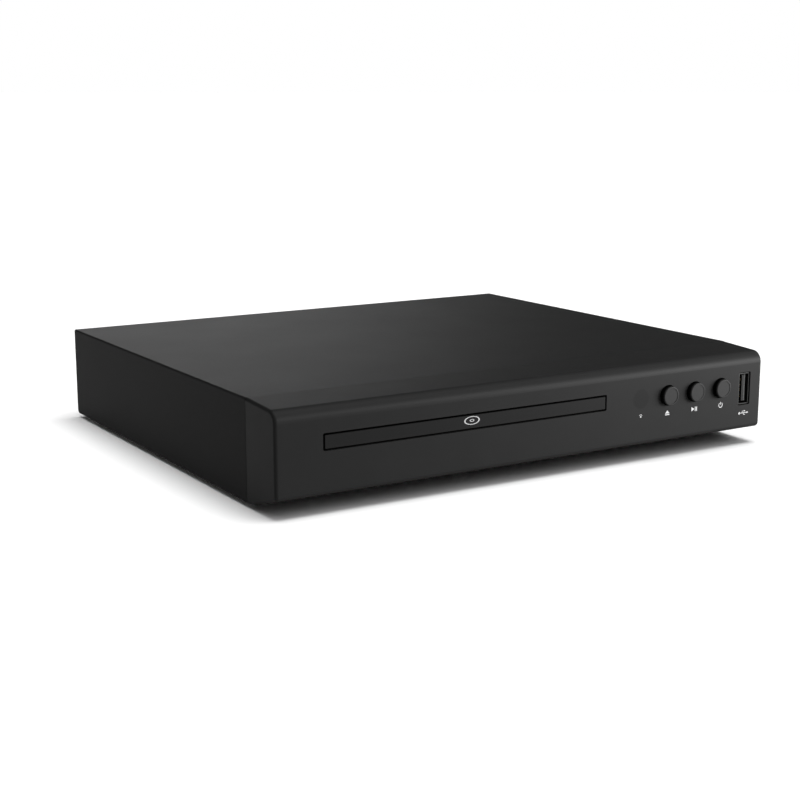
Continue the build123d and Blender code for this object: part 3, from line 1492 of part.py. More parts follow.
# The objective lens: a short barrel with a domed top.
lens_rim_z = sled_top + lens_guard_height - sheet
lens_curve = ((lens_diameter / 2) ** 2 + lens_rise**2) / (2 * lens_rise)
lens_shoulder = lens_rise - lens_curve + sqrt(lens_curve**2 - (lens_diameter / 4) ** 2)
with BuildPart() as objective_lens:
    with BuildSketch(Plane.XZ.offset(-lens_y)):
        with BuildLine():
            Line((spindle_x, sled_top), (spindle_x + lens_diameter / 2, sled_top))
            Line((spindle_x + lens_diameter / 2, sled_top), (spindle_x + lens_diameter / 2, lens_rim_z))
            ThreePointArc(
                (spindle_x + lens_diameter / 2, lens_rim_z),
                (spindle_x + lens_diameter / 4, lens_rim_z + lens_shoulder),
                (spindle_x, lens_rim_z + lens_rise),
            )
            Line((spindle_x, lens_rim_z + lens_rise), (spindle_x, sled_top))
        make_face()
    revolve(axis=Axis((spindle_x, lens_y, 0), (0, 0, 1)))
objective_lens.part.label = "objective_lens"
export_step(objective_lens.part, "parts/objective_lens.step")

# Feed drive: a small motor, its pinion below it, and a two-step gear.
feed_distance = feed_module * (feed_wheel_teeth + feed_motor_teeth) / 2
feed_motor_x = feed_x + feed_distance * cos(radians(feed_motor_angle))
feed_motor_y = feed_y + feed_distance * sin(radians(feed_motor_angle))
feed_wheel_top = feed_wheel_z + feed_wheel_width
with BuildPart() as feed_motor:
    with BuildSketch(Plane.XY.offset(motor_seat)):
        with Locations((feed_motor_x, feed_motor_y)):
            Circle(feed_motor_diameter / 2)
    extrude(amount=-feed_motor_height)
    with BuildSketch(Plane.XY.offset(motor_seat - feed_motor_height)):
        with Locations((feed_motor_x, feed_motor_y)):
            Circle(feed_axle / 2 + post_play)
    extrude(amount=feed_motor_height / 2, mode=Mode.SUBTRACT)
feed_motor.part.label = "feed_motor"
export_step(feed_motor.part, "parts/feed_motor.step")

with BuildPart() as feed_pinion:
    with BuildSketch(Plane.XY.offset(feed_wheel_z)):
        with Locations((feed_motor_x, feed_motor_y)):
            gear_outline(
                feed_motor_teeth, feed_module, feed_motor_angle + 180 + 180 / feed_motor_teeth
            )
    extrude(amount=feed_wheel_width)
    with BuildSketch(Plane.XY.offset(feed_wheel_z)):
        with Locations((feed_motor_x, feed_motor_y)):
            Circle(feed_axle / 2)
    extrude(amount=motor_seat - feed_motor_height + feed_motor_height / 3 - feed_wheel_z)
feed_pinion.part.label = "feed_pinion"
export_step(feed_pinion.part, "parts/feed_pinion.step")

with BuildPart() as feed_gear:
    with BuildSketch(Plane.XY.offset(feed_wheel_z)):
        with Locations((feed_x, feed_y)):
            gear_outline(feed_wheel_teeth, feed_module, feed_motor_angle)
            Circle(feed_axle / 2 + post_play, mode=Mode.SUBTRACT)
    extrude(amount=feed_wheel_width)
    with BuildSketch(Plane.XY.offset(feed_wheel_top)):
        with Locations((feed_x, feed_y)):
            gear_outline(feed_pinion_teeth, feed_module)
            Circle(feed_axle / 2 + post_play, mode=Mode.SUBTRACT)
    extrude(amount=motor_seat - gear_gap - feed_wheel_top)
feed_gear.part.label = "feed_gear"
export_step(feed_gear.part, "parts/feed_gear.step")


# ================================================================ electronics
def circuit_board(left, right, front, back):
    """Board on four standoffs near its corners."""
    with BuildPart() as board:
        with BuildSketch(Plane.XY.offset(board_z)):
            with Locations((left, front)):
                Rectangle(right - left, back - front, align=(Align.MIN, Align.MIN))
            with Locations(*board_hole_places):
                Circle(small_screw_diameter / 2 + screw_play, mode=Mode.SUBTRACT)
        extrude(amount=board_thickness)
    return board.part


main_board = circuit_board(main_board_left, main_board_right, main_board_front, board_back)
main_board.label = "main_board"
export_step(main_board, "parts/main_board.step")
power_board = circuit_board(
    power_board_left, power_board_right, power_board_front_y, board_back
)
power_board.label = "power_board"
export_step(power_board, "parts/power_board.step")

board_screws = pan_screws(
    board_hole_places,
    Plane.XY.offset(board_top),
    small_screw_diameter - screw_play,
    small_screw_head,
    small_screw_head_height,
    small_screw_length,
)
board_screws.label = "board_screws"
export_step(board_screws, "parts/board_screws.step")

# Processor, memory and drive chips; a finned sink sits on the processor.
main_middle_y = (main_board_front + board_back) / 2
processor_x = main_board_right - chip_size * 1.4
small_chip_places = [
    (processor_x - chip_size - step * small_chip * 1.4, main_board_front + small_chip)
    for step in range(2)
]
with BuildPart() as main_chips:
    with BuildSketch(Plane.XY.offset(board_top)):
        with Locations((processor_x, main_middle_y)):
            Rectangle(chip_size, chip_size)
        with Locations(*small_chip_places):
            Rectangle(small_chip, small_chip)
    extrude(amount=chip_thickness)
main_chips.part.label = "main_chips"
export_step(main_chips.part, "parts/main_chips.step")

with BuildPart() as main_heat_sink:
    with BuildSketch(Plane.XY.offset(board_top + chip_thickness)):
        with Locations((processor_x, main_middle_y)):
            Rectangle(sink_size, sink_size)
    extrude(amount=sink_base)
    with BuildSketch(Plane.XY.offset(board_top + chip_thickness + sink_base)):
        with Locations((processor_x, main_middle_y)):
            fin_pitch = (sink_size - sink_fin_thickness) / (sink_fins - 1)
            with GridLocations(fin_pitch, 0, sink_fins, 1):
                Rectangle(sink_fin_thickness, sink_size)
    extrude(amount=sink_height - sink_base)
main_heat_sink.part.label = "main_heat_sink"
export_step(main_heat_sink.part, "parts/main_heat_sink.step")

capacitor_places = [
    (main_board_left + board_inset * 2 + step * capacitor_diameter * 1.6, main_board_front + board_inset)
    for step in range(1, 4)
] + [
    (power_board_right - capacitor_diameter * 1.3 * step, board_back - inlet_depth - capacitor_diameter)
    for step in (1, 2)
]
with BuildPart() as board_capacitors:
    with BuildSketch(Plane.XY.offset(board_top)):
        with Locations(*capacitor_places):
            Circle(capacitor_diameter / 2)
    extrude(amount=capacitor_height)
board_capacitors.part.label = "board_capacitors"
export_step(board_capacitors.part, "parts/board_capacitors.step")

# Mains side: a transformer with its core, the bulk capacitor, a sink plate.
power_middle_x = (power_board_left + power_board_right) / 2
transformer_y = power_board_front_y + transformer_depth
with BuildPart() as transformer:
    with BuildSketch(Plane.XY.offset(board_top)):
        with Locations((power_middle_x, transformer_y)):
            Rectangle(transformer_width, transformer_depth - transformer_core)
    extrude(amount=transformer_height - transformer_core / 4)
    with BuildSketch(Plane.XY.offset(board_top + transformer_core / 4)):
        with Locations((power_middle_x, transformer_y)):
            Rectangle(transformer_core, transformer_depth)
    extrude(amount=transformer_height - transformer_core / 4)
transformer.part.label = "transformer"
export_step(transformer.part, "parts/transformer.step")

bulk_y = transformer_y + transformer_depth / 2 + bulk_diameter
with BuildPart() as bulk_capacitor:
    with BuildSketch(Plane.XY.offset(board_top)):
        with Locations((power_board_right - bulk_diameter, bulk_y)):
            Circle(bulk_diameter / 2)
    extrude(amount=bulk_height)
    fillet(bulk_capacitor.edges().group_by(Axis.Z)[-1], sheet)
bulk_capacitor.part.label = "bulk_capacitor"
export_step(bulk_capacitor.part, "parts/bulk_capacitor.step")

with BuildPart() as power_heat_sink:
    with BuildSketch(Plane.XY.offset(board_top)):
        with Locations((power_board_left + bulk_diameter, bulk_y)):
            Rectangle(power_sink_thickness, power_sink_width)
    extrude(amount=power_sink_height)
    with BuildSketch(Plane.XY.offset(board_top + power_sink_height)):
        with Locations((power_board_left + bulk_diameter, bulk_y)):
            Rectangle(transformer_core, power_sink_width)
    extrude(amount=-power_sink_thickness)
power_heat_sink.part.label = "power_heat_sink"
export_step(power_heat_sink.part, "parts/power_heat_sink.step")

# ================================================================ rear sockets
# Three audio and video jacks in one block, with collars through the panel.
jack_block_left = jack_places[0][0] - jack_pitch / 2
jack_block_width = jack_pitch * len(jack_places)
jack_face = panel_y + sheet_play
barrel_end = back_y + jack_reach
with BuildPart() as rca_block:
    with BuildSketch(standing_plane(panel_inside)):
        with Locations((jack_block_left, board_top)):
            Rectangle(jack_block_width, jack_block_height, align=(Align.MIN, Align.MIN))
    extrude(amount=jack_block_depth)
    with BuildSketch(standing_plane(jack_face)):
        with Locations(*jack_places):
            Circle(jack_collar / 2)
    extrude(amount=jack_face - panel_inside)
rca_block.part.label = "rca_block"
export_step(rca_block.part, "parts/rca_block.step")

with BuildPart() as rca_barrels:
    with BuildSketch(standing_plane(barrel_end)):
        with Locations(*jack_places):
            Circle(jack_barrel / 2)
            Circle(jack_barrel / 2 - jack_barrel_wall, mode=Mode.SUBTRACT)
    extrude(amount=barrel_end - jack_face)
rca_barrels.part.label = "rca_barrels"
export_step(rca_barrels.part, "parts/rca_barrels.step")


def jack_core(place):
    """Coloured insulator inside one barrel, with its centre socket."""
    with BuildPart() as core:
        with BuildSketch(standing_plane(barrel_end - jack_barrel_wall)):
            with Locations(place):
                Circle(jack_barrel / 2 - jack_barrel_wall)
        extrude(amount=barrel_end - jack_barrel_wall - jack_face)
        with BuildSketch(standing_plane(barrel_end)):
            with Locations(place):
                Circle(jack_socket / 2)
        extrude(amount=jack_socket_depth, mode=Mode.SUBTRACT)
    return core.part


rca_insert_left = jack_core(jack_places[0])
rca_insert_left.label = "rca_insert_left"
export_step(rca_insert_left, "parts/rca_insert_left.step")
rca_insert_right = jack_core(jack_places[1])
rca_insert_right.label = "rca_insert_right"
export_step(rca_insert_right, "parts/rca_insert_right.step")
rca_insert_video = jack_core(jack_places[2])
rca_insert_video.label = "rca_insert_video"
export_step(rca_insert_video, "parts/rca_insert_video.step")

# Video socket: a flanged shell with cut lower corners round a tongue.
with BuildPart() as hdmi_shell:
    with BuildSketch(standing_plane(panel_y)) as hdmi_outline:
        with Locations((hdmi_x, hdmi_z)):
            Rectangle(hdmi_width, hdmi_height)
        chamfer(hdmi_outline.vertices().group_by(Axis.Y)[0], hdmi_height / 4)
    extrude(amount=hdmi_depth)
    with BuildSketch(standing_plane(panel_y)) as hdmi_mouth:
        with Locations((hdmi_x, hdmi_z)):
            Rectangle(hdmi_width - 2 * hdmi_wall, hdmi_height - 2 * hdmi_wall)
        chamfer(hdmi_mouth.vertices().group_by(Axis.Y)[0], hdmi_height / 4)
    extrude(amount=hdmi_depth - hdmi_wall, mode=Mode.SUBTRACT)
hdmi_shell.part.label = "hdmi_shell"
export_step(hdmi_shell.part, "parts/hdmi_shell.step")

with BuildPart() as hdmi_tongue:
    with BuildSketch(standing_plane(panel_y - sheet)):
        with Locations((hdmi_x, hdmi_z)):
            Rectangle(hdmi_tongue_width, hdmi_tongue_height)
    extrude(amount=hdmi_depth - sheet - hdmi_wall)
hdmi_tongue.part.label = "hdmi_tongue"
export_step(hdmi_tongue.part, "parts/hdmi_tongue.step")

# Mains inlet: two round lobes side by side, with a pin in each.
with BuildPart() as mains_inlet:
    with BuildSketch(standing_plane(panel_y)):
        with Locations((inlet_x, inlet_z)):
            Rectangle(inlet_width, inlet_height)
    extrude(amount=inlet_depth)
    with BuildSketch(standing_plane(panel_y + inlet_flange_depth)):
        with Locations((inlet_x, inlet_z)):
            RectangleRounded(inlet_width + 2 * inlet_flange, inlet_height + inlet_flange, inlet_flange)
    extrude(amount=inlet_flange_depth)
    with BuildSketch(standing_plane(panel_y + inlet_flange_depth)):
        with Locations((inlet_x, inlet_z)):
            SlotOverall(inlet_socket_width, inlet_socket_height)
    extrude(amount=inlet_flange_depth + inlet_socket_depth, mode=Mode.SUBTRACT)
mains_inlet.part.label = "mains_inlet"
export_step(mains_inlet.part, "parts/mains_inlet.step")

with BuildPart() as inlet_pins:
    with BuildSketch(standing_plane(panel_y - inlet_socket_depth)):
        with Locations((inlet_x, inlet_z)):
            with GridLocations(inlet_pin_spacing, 0, 2, 1):
                Circle(inlet_pin_diameter / 2)
    extrude(amount=-inlet_pin_length)
inlet_pins.part.label = "inlet_pins"
export_step(inlet_pins.part, "parts/inlet_pins.step")
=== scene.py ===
from math import cos, pi, radians, sin

import bmesh
import bpy
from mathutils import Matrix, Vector


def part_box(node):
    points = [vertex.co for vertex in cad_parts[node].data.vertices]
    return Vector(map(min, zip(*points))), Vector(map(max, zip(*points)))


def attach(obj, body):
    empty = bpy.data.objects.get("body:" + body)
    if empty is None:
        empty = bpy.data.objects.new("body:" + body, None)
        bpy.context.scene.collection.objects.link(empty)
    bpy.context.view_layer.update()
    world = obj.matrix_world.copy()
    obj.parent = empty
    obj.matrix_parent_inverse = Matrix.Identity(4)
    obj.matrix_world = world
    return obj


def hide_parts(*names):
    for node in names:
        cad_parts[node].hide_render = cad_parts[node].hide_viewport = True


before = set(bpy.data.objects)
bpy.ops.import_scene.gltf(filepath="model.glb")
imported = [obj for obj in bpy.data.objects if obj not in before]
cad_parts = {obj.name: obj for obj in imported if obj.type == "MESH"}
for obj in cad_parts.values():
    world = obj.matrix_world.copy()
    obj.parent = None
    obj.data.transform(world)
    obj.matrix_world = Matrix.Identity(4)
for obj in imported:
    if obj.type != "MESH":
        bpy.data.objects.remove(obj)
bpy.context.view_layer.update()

# ---------------------------------------------------------------- camera
# A long lens held low at the left front corner, looking a little down on
# the player, so that the front and the left side are both seen.
eye = Vector((-0.3387, -0.5499, 0.14895))
swing, drop = radians(-31.568), radians(11.935)
focal_length, sensor_width = 66.98, 36.0
nearest, farthest = 0.01, 100.0

back = Vector((sin(swing) * cos(drop), -cos(swing) * cos(drop), sin(drop)))
lens = bpy.data.cameras.new("camera")
lens.lens = focal_length
lens.sensor_width = sensor_width
lens.clip_start = nearest
lens.clip_end = farthest
camera = bpy.data.objects.new("camera", lens)
camera.location = eye
camera.rotation_mode = "QUATERNION"
camera.rotation_quaternion = (-back).to_track_quat("-Z", "Y")
bpy.context.scene.collection.objects.link(camera)
bpy.context.scene.camera = camera
bpy.context.scene.view_settings.view_transform = "Standard"


# ----------------------------------------------------------------- table
# The player stands on a sheet of matt white paper, so wide that its far
# edge is lost in the white of the room.
class Socket:
    """One output of a finish's nodes; sums and products are Math nodes."""

    def __init__(self, tree, out=None):
        self.tree = tree
        self.out = out

    def node(self, kind, settings=None, values=None, give=0):
        made = self.tree.nodes.new(f"ShaderNode{kind}")
        for name, value in (settings or {}).items():
            setattr(made, name, value)
        for name, value in (values or {}).items():
            if isinstance(value, Socket):
                self.tree.links.new(value.out, made.inputs[name])
            else:
                made.inputs[name].default_value = value
        return Socket(self.tree, made.outputs[give] if made.outputs else None)

    def math(self, operation, first, second):
        return self.node("Math", {"operation": operation}, {0: first, 1: second})

    def __add__(self, other):
        return self.math("ADD", self, other)

    __radd__ = __add__

    def __sub__(self, other):
        return self.math("SUBTRACT", self, other)

    def __rsub__(self, other):
        return self.math("SUBTRACT", other, self)

    def __mul__(self, other):
        return self.math("MULTIPLY", self, other)

    __rmul__ = __mul__

    def above(self, low, high):
        """0 below low, 1 above high, smooth between them."""
        return self.node(
            "MapRange",
            {"interpolation_type": "SMOOTHSTEP"},
            {"Value": self, "From Min": low, "From Max": high},
        )

    def below(self, low, high):
        return 1.0 - self.above(low, high)

    def blend(self, off, on):
        """The colour off where the mask is 0, and on where it is 1."""
        return self.node("Mix", {"data_type": "RGBA"}, {0: self, 6: off, 7: on}, 2)


def grey(tone):
    return (tone, tone, tone, 1.0)


def finish(name, paint):
    """A material whose shader has the values that paint gives."""
    material = bpy.data.materials.new(name)
    material.use_nodes = True
    tree = material.node_tree
    tree.nodes.clear()
    s = Socket(tree)
    shader = s.node("BsdfPrincipled", None, paint(s))
    s.node("OutputMaterial", None, {"Surface": shader})
    return material


def shaped(name, work, material=None):
    """The finished bmesh work, as an object in the scene."""
    mesh = bpy.data.meshes.new(name)
    work.to_mesh(mesh)
    work.free()
    if material:
        mesh.materials.append(material)
    made = bpy.data.objects.new(name, mesh)
    bpy.context.scene.collection.objects.link(made)
    return made


def paper(s):
    return {"Base Color": grey(0.92), "Roughness": 1.0, "Specular IOR Level": 0.0}


table_reach, table_parts = 30.0, 48
table_work = bmesh.new()
middle = table_work.verts.new((0, 0, 0))
rim = []
for k in range(table_parts):
    turn = 2 * pi * k / table_parts
    spot = (table_reach * cos(turn), table_reach * sin(turn), 0)
    rim.append(table_work.verts.new(spot))
for k in range(table_parts):
    table_work.faces.new((middle, rim[k], rim[(k + 1) % table_parts]))
table = shaped("table", table_work, finish("paper", paper))


# ------------------------------------------------------------------ room
# The walls are white below eye level. A low bright screen stands behind
# the player and a softer one hangs high in front: only reflections show them.
def along(spot):
    """The x, y and z of a place or a direction."""
    split = spot.node("SeparateXYZ", None, {0: spot})
    return [Socket(spot.tree, out) for out in split.out.node.outputs]


dim_room, front_wall_glow, horizon_glow = 0.03, 0.1, 0.97
rear_screen_glow, front_screen_glow = 3.7, 0.8

world = bpy.data.worlds.new("room")
bpy.context.scene.world = world
world.use_nodes = True
world.node_tree.nodes.clear()
sky = Socket(world.node_tree)
east, north, height = along(sky.node("TexCoord", give="Generated"))
front_wall = north.below(-0.1, 0.2)
horizon = height.below(0.058, 0.075)
rear_screen = (
    east.above(0.1, 0.25)
    * east.below(0.4, 0.62)
    * north.above(0.2, 0.5)
    * height.above(0.06, 0.1)
    * height.below(0.17, 0.3)
)
front_screen = (
    north.below(-0.4, -0.1)
    * east.above(0.0, 0.25)
    * east.below(0.75, 0.92)
    * height.above(0.25, 0.42)
    * height.below(0.7, 0.85)
)
glow = (
    dim_room
    + front_wall * front_wall_glow
    + horizon * horizon_glow
    + rear_screen * rear_screen_glow
    + front_screen * front_screen_glow
)
light = sky.node("Background", None, {"Color": grey(1.0), "Strength": glow})
sky.node("OutputWorld", None, {"Surface": light})


# ----------------------------------------------------------------- lamps
# A soft box hangs over the player and the whole ceiling fills in. A screen
# by the right front corner and a strip for the brow are kept off the table.
def lamp(name, kind, bearing, rise, energy, away=1.0, **shape):
    """A lamp aimed at the player from a bearing off the back, clockwise."""
    bulb = bpy.data.lights.new(name, kind)
    bulb.energy = energy
    for key, value in shape.items():
        setattr(bulb, key, value)
    turn, tilt = radians(bearing), radians(rise)
    out = Vector((sin(turn) * cos(tilt), cos(turn) * cos(tilt), sin(tilt)))
    holder = bpy.data.objects.new(name, bulb)
    holder.location = out * away
    holder.rotation_mode = "QUATERNION"
    holder.rotation_quaternion = out.to_track_quat("Z", "Y")
    bpy.context.scene.collection.objects.link(holder)
    return holder


def lights_only(holder, name, things):
    """A flag round a lamp keeps its light on these things."""
    kept = bpy.data.collections.new(name)
    for thing in things:
        kept.objects.link(thing)
    holder.light_linking.receiver_collection = kept
    return kept


lamp("soft_box", "SUN", bearing=120.0, rise=82.0, energy=2.7, angle=radians(40))
lamp("ceiling", "SUN", bearing=150.0, rise=68.0, energy=1.1, angle=radians(95))
right_screen = lamp(
    "right_screen",
    "AREA",
    bearing=131.0,
    rise=9.0,
    energy=6.2,
    away=0.52,
    shape="RECTANGLE",
    size=0.35,
    size_y=0.16,
)
on_player = lights_only(right_screen, "on_player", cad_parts.values())
brow_strip = lamp(
    "brow_strip", "SUN", bearing=144.0, rise=25.0, energy=2.4, angle=radians(12)
)
lights_only(brow_strip, "on_fascia", [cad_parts["front_fascia"]])


# --------------------------------------------------------------- chassis
# The floor, its side flanges and the rear panel are one folded sheet of
# zinc plated steel, left bare, with the zinc's spangle and faint drawn lines.
def place(s):
    """Where on the part a point lies, in metres."""
    return s.node("TexCoord", give="Object")


def grains(s, size, detail=3.0, rough=0.55, stretch=(1, 1, 1)):
    """A noise whose grains are about size metres across."""
    spot = s.node(
        "Mapping", {"vector_type": "POINT"}, {"Vector": place(s), "Scale": stretch}
    )
    values = {"Vector": spot, "Scale": 1 / size, "Detail": detail, "Roughness": rough}
    return s.node("TexNoise", None, values)


def bumped(s, height, depth, strength):
    values = {"Height": height, "Distance": depth, "Strength": strength}
    return s.node("Bump", None, values)


def dress(material, *names):
    """The named solids get this finish."""
    for name in names:
        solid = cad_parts[name]
        if not solid.material_slots:
            solid.data.materials.append(material)
        for held in solid.material_slots:
            held.material = material
        for face in solid.data.polygons:
            face.use_smooth = True


spangles_per_metre = 160.0
zinc_line, zinc_line_depth = 0.0015, 0.00002


def zinc_sheet(s):
    values = {"Vector": place(s), "Scale": spangles_per_metre}
    spangle = s.node("TexVoronoi", None, values)
    streak = grains(s, zinc_line, 2.0, stretch=(1, 0.06, 1))
    return {
        "Base Color": spangle.blend(grey(0.3), grey(0.42)),
        "Metallic": 1.0,
        "Roughness": 0.34 + 0.1 * spangle + 0.06 * streak,
        "Normal": bumped(s, streak, zinc_line_depth, 0.3),
    }


dress(finish("zinc_sheet", zinc_sheet), "base_chassis")


# ---------------------------------------------------------------- rubber
# The four feet are soft rubber plugs pressed into the floor. The bushes of
# the traverse, the drive belt and the turntable's pad are rubber as well.
def rubber(s):
    dust = grains(s, 0.004, 4.0)
    pitting = grains(s, 0.0004)
    return {
        "Base Color": dust.blend(grey(0.018), grey(0.032)),
        "Roughness": 0.72 + 0.15 * dust,
        "Normal": bumped(s, pitting, 0.00005, 0.5),
    }


foot_rubber = finish("foot_rubber", rubber)
dress(foot_rubber, "rubber_feet", "damper_bushes", "drive_belt", "disc_pad")


# ---------------------------------------------------------------- boards
# Three glass-epoxy boards under a green solder mask, which stands a little
# proud over the copper tracks.
tracks_per_metre = 260.0


def board(s):
    values = {"Vector": place(s), "Scale": tracks_per_metre}
    track = s.node("TexBrick", None, values, give=1)
    return {
        "Base Color": track.blend((0.01, 0.11, 0.035, 1), (0.02, 0.16, 0.05, 1)),
        "Roughness": 0.3 + 0.1 * track,
        "Normal": bumped(s, track, 0.00003, 0.4),
    }


dress(finish("board_mask", board), "main_board", "power_board", "key_board")


# -------------------------------------------------------- loader mouldings
# The loader's frame, the bridge over the disc, the traverse's frame and the
# tray are moulded in black plastic, matt from a spark-eroded tool.
spark_grain, spark_depth = 0.00028, 0.00003
black_gloss = 0.028


def fine_moulding(tone, rough, depth=spark_depth):
    def paint(s):
        erosion = grains(s, spark_grain, 2.0, 0.6)
        cloud = grains(s, 0.02, 3.0)
        return {
            "Base Color": cloud.blend(grey(tone * 0.92), grey(tone * 1.08)),
            "Roughness": rough - 0.03 + 0.06 * cloud + 0.04 * erosion,
            "Specular IOR Level": black_gloss,
            "Normal": bumped(s, erosion, depth, 0.35),
        }

    return paint


loader_moulding = finish("loader_moulding", fine_moulding(tone=0.03, rough=0.55))
dress(loader_moulding, "loader_frame", "traverse_frame", "clamp_bridge")
tray_moulding = finish("tray_moulding", fine_moulding(tone=0.017, rough=0.5))
dress(tray_moulding, "disc_tray")


# ----------------------------------------------------------------- gears
# The gears, the belt's pulley, the cam slider, the turntable and the clamper
# are moulded in white acetal, which needs no oil.
def plain_moulding(colour, rough=0.35):
    def paint(s):
        cloud = grains(s, 0.006, 3.0)
        darker = (colour[0] * 0.9, colour[1] * 0.9, colour[2] * 0.88, 1.0)
        return {
            "Base Color": cloud.blend(darker, (*colour, 1.0)),
            "Roughness": rough + 0.1 * cloud,
            "Normal": bumped(s, grains(s, 0.0005), 0.00001, 0.3),
        }

    return paint


dress(
    finish("acetal", plain_moulding((0.74, 0.73, 0.68))),
    "drive_gear",
    "pulley_gear",
    "motor_pulley",
    "cam_slider",
    "feed_gear",
    "feed_pinion",
    "turntable",
    "clamper",
)


# ------------------------------------------------- motors, rods and screws
# Three small motors in plated cans, the sled's two turned rods, the steel
# plate that pulls the clamper down, and the screws that hold it together.
def metal(tone, rough, tint=(1, 1, 1)):
    def paint(s):
        rub = grains(s, 0.0008, 3.0, stretch=(1, 1, 0.1))
        worn = tone * 0.85
        return {
            "Base Color": rub.blend(
                (worn * tint[0], worn * tint[1], worn * tint[2], 1.0),
                (tone * tint[0], tone * tint[1], tone * tint[2], 1.0),
            ),
            "Metallic": 1.0,
            "Roughness": rough + 0.12 * rub,
            "Normal": bumped(s, rub, 0.00001, 0.3),
        }

    return paint


motor_can = finish("motor_can", metal(tone=0.55, rough=0.3))
dress(motor_can, "loader_motor", "spindle_motor", "feed_motor")
plated_metal = finish("plated_metal", metal(tone=0.66, rough=0.25))
dress(plated_metal, "guide_rods", "clamp_plate")
dress(
    finish("screw_steel", metal(tone=0.3, rough=0.35)),
    "loader_screws",
    "bridge_screws",
    "key_board_screws",
    "board_screws",
)


# ---------------------------------------------------------------- pickup
# The sled is a black moulding. Its lens, a moulded glass dome coated against
# reflection, looks up through a cast metal guard.
def lens_glass(s):
    return {
        "Base Color": (0.75, 0.8, 0.95, 1),
        "Roughness": 0.04,
        "Transmission Weight": 0.9,
        "IOR": 1.5,
    }


black_moulding = finish("black_moulding", fine_moulding(tone=0.014, rough=0.4))
dress(black_moulding, "pickup_sled")
cast_metal = finish("cast_metal", metal(tone=0.5, rough=0.42))
dress(cast_metal, "lens_guard")
dress(finish("lens_glass", lens_glass), "objective_lens")


# ------------------------------------------------------- parts on the boards
# Chips, the transformer, the switches and the receiver are black. The
# capacitors wear dark blue sleeves, and the ribbon is a pale flat cable.
dress(
    black_moulding,
    "main_chips",
    "transformer",
    "tact_switches",
    "ir_receiver",
)
dress(cast_metal, "main_heat_sink", "power_heat_sink")
sleeve = finish("capacitor_sleeve", plain_moulding((0.02, 0.03, 0.1), rough=0.3))
dress(sleeve, "board_capacitors", "bulk_capacitor")
film = finish("ribbon_film", plain_moulding((0.7, 0.7, 0.66), rough=0.3))
dress(film, "key_ribbon")


# ---------------------------------------------------------- rear sockets
# Three phono jacks with nickel barrels and coloured inserts in one black
# block, a plated HDMI shell, and a mains inlet with two plated pins.
dress(black_moulding, "rca_block", "hdmi_tongue", "mains_inlet")
dress(plated_metal, "hdmi_shell", "inlet_pins")
nickel = finish("nickel", metal(tone=0.68, rough=0.18, tint=(1, 0.96, 0.9)))
dress(nickel, "rca_barrels")
for signal, name, colour in (
    ("left", "white_insert", (0.8, 0.8, 0.8)),
    ("right", "red_insert", (0.5, 0.02, 0.015)),
    ("video", "yellow_insert", (0.75, 0.45, 0.02)),
):
    dress(finish(name, plain_moulding(colour)), f"rca_insert_{signal}")


# ---------------------------------------------------------------- fascia
# The fascia is one moulding of black plastic, with a brow, two cheeks and a
# chin that slopes away underneath. The window for the remote is smoother.
window_depth = 0.00001
fascia_moulding = finish("fascia_moulding", fine_moulding(tone=0.0082, rough=0.42))
dress(fascia_moulding, "front_fascia")
window_moulding = finish(
    "window_moulding", fine_moulding(tone=0.0078, rough=0.42, depth=window_depth)
)
dress(window_moulding, "ir_window")


# ------------------------------------------------------------- tray door
# The door is a thin moulded strip clipped to the tray's front. Its edges lie
# in the gap of the fascia's slot and are painted near black as painted shade.
def door_plastic(s):
    erosion = grains(s, spark_grain, 2.0, 0.6)
    face = along(s.node("NewGeometry", give="Normal"))[1].below(-0.95, -0.8)
    return {
        # The edges and chamfer are painted near black: painted shade of the slot's gap.
        "Base Color": face.blend(grey(0.0006), grey(0.0082)),
        "Roughness": 0.38 + 0.04 * erosion,
        "Specular IOR Level": black_gloss,
        "Normal": bumped(s, erosion, spark_depth, 0.35),
    }


dress(finish("door_moulding", door_plastic), "tray_door")


# --------------------------------------------------------------- buttons
# The three push buttons are round caps of the same plastic, with a satin
# face. The polished wall that slides in the fascia's hole is painted near
# black as painted shade.
cap_gloss, cap_depth = 0.04, 0.00002
wall_shade_from_y, wall_shade_full_y = -0.1052, -0.1046


def cap_plastic(s):
    erosion = grains(s, spark_grain, 2.0, 0.6)
    facing = along(s.node("NewGeometry", give="Normal"))[1]
    deep = along(place(s))[1]
    # The side wall is painted near black: painted shade of the gap round the cap.
    painted_wall_shade = facing.above(-0.5, -0.2) * deep.above(wall_shade_from_y, wall_shade_full_y)
    satin_face_unshaded = 1.0 - painted_wall_shade
    return {
        "Base Color": satin_face_unshaded.blend(grey(0.001), grey(0.014)),
        "Roughness": 0.32 + 0.1 * satin_face_unshaded + 0.04 * erosion,
        "Specular IOR Level": cap_gloss,
        "Normal": bumped(s, erosion, cap_depth, 0.3),
    }


button_moulding = finish("button_moulding", cap_plastic)
dress(button_moulding, "eject_button", "play_button", "power_button")


# ------------------------------------------------------------ USB socket
# A folded nickel shell, painted near black as painted shade of the socket's
# mouth, stands upright round a black tongue. A painted highlight lies on the
# outer edge of the tongue's front lip. Four gilt springs lie along the tongue.
highlight_from_x, highlight_full_x = 0.1065, 0.1067
contact_thick, contact_long, contact_wide = 0.0001, 0.007, 0.001
contact_x, contact_from_mouth = 0.10548, 0.0045
socket_mid_z = 0.02435
contact_steps = (-0.0035, -0.001, 0.001, 0.0035)
contact_edge = 0.00004


def shell_painted_shade(s):
    return {
        # The shell is painted near black: painted shade of the socket's mouth.
        "Base Color": grains(s, 0.0006).blend(grey(0.004), grey(0.012)),
        "Metallic": 0.8,
        "Roughness": 0.42 + 0.1 * grains(s, 0.002),
    }


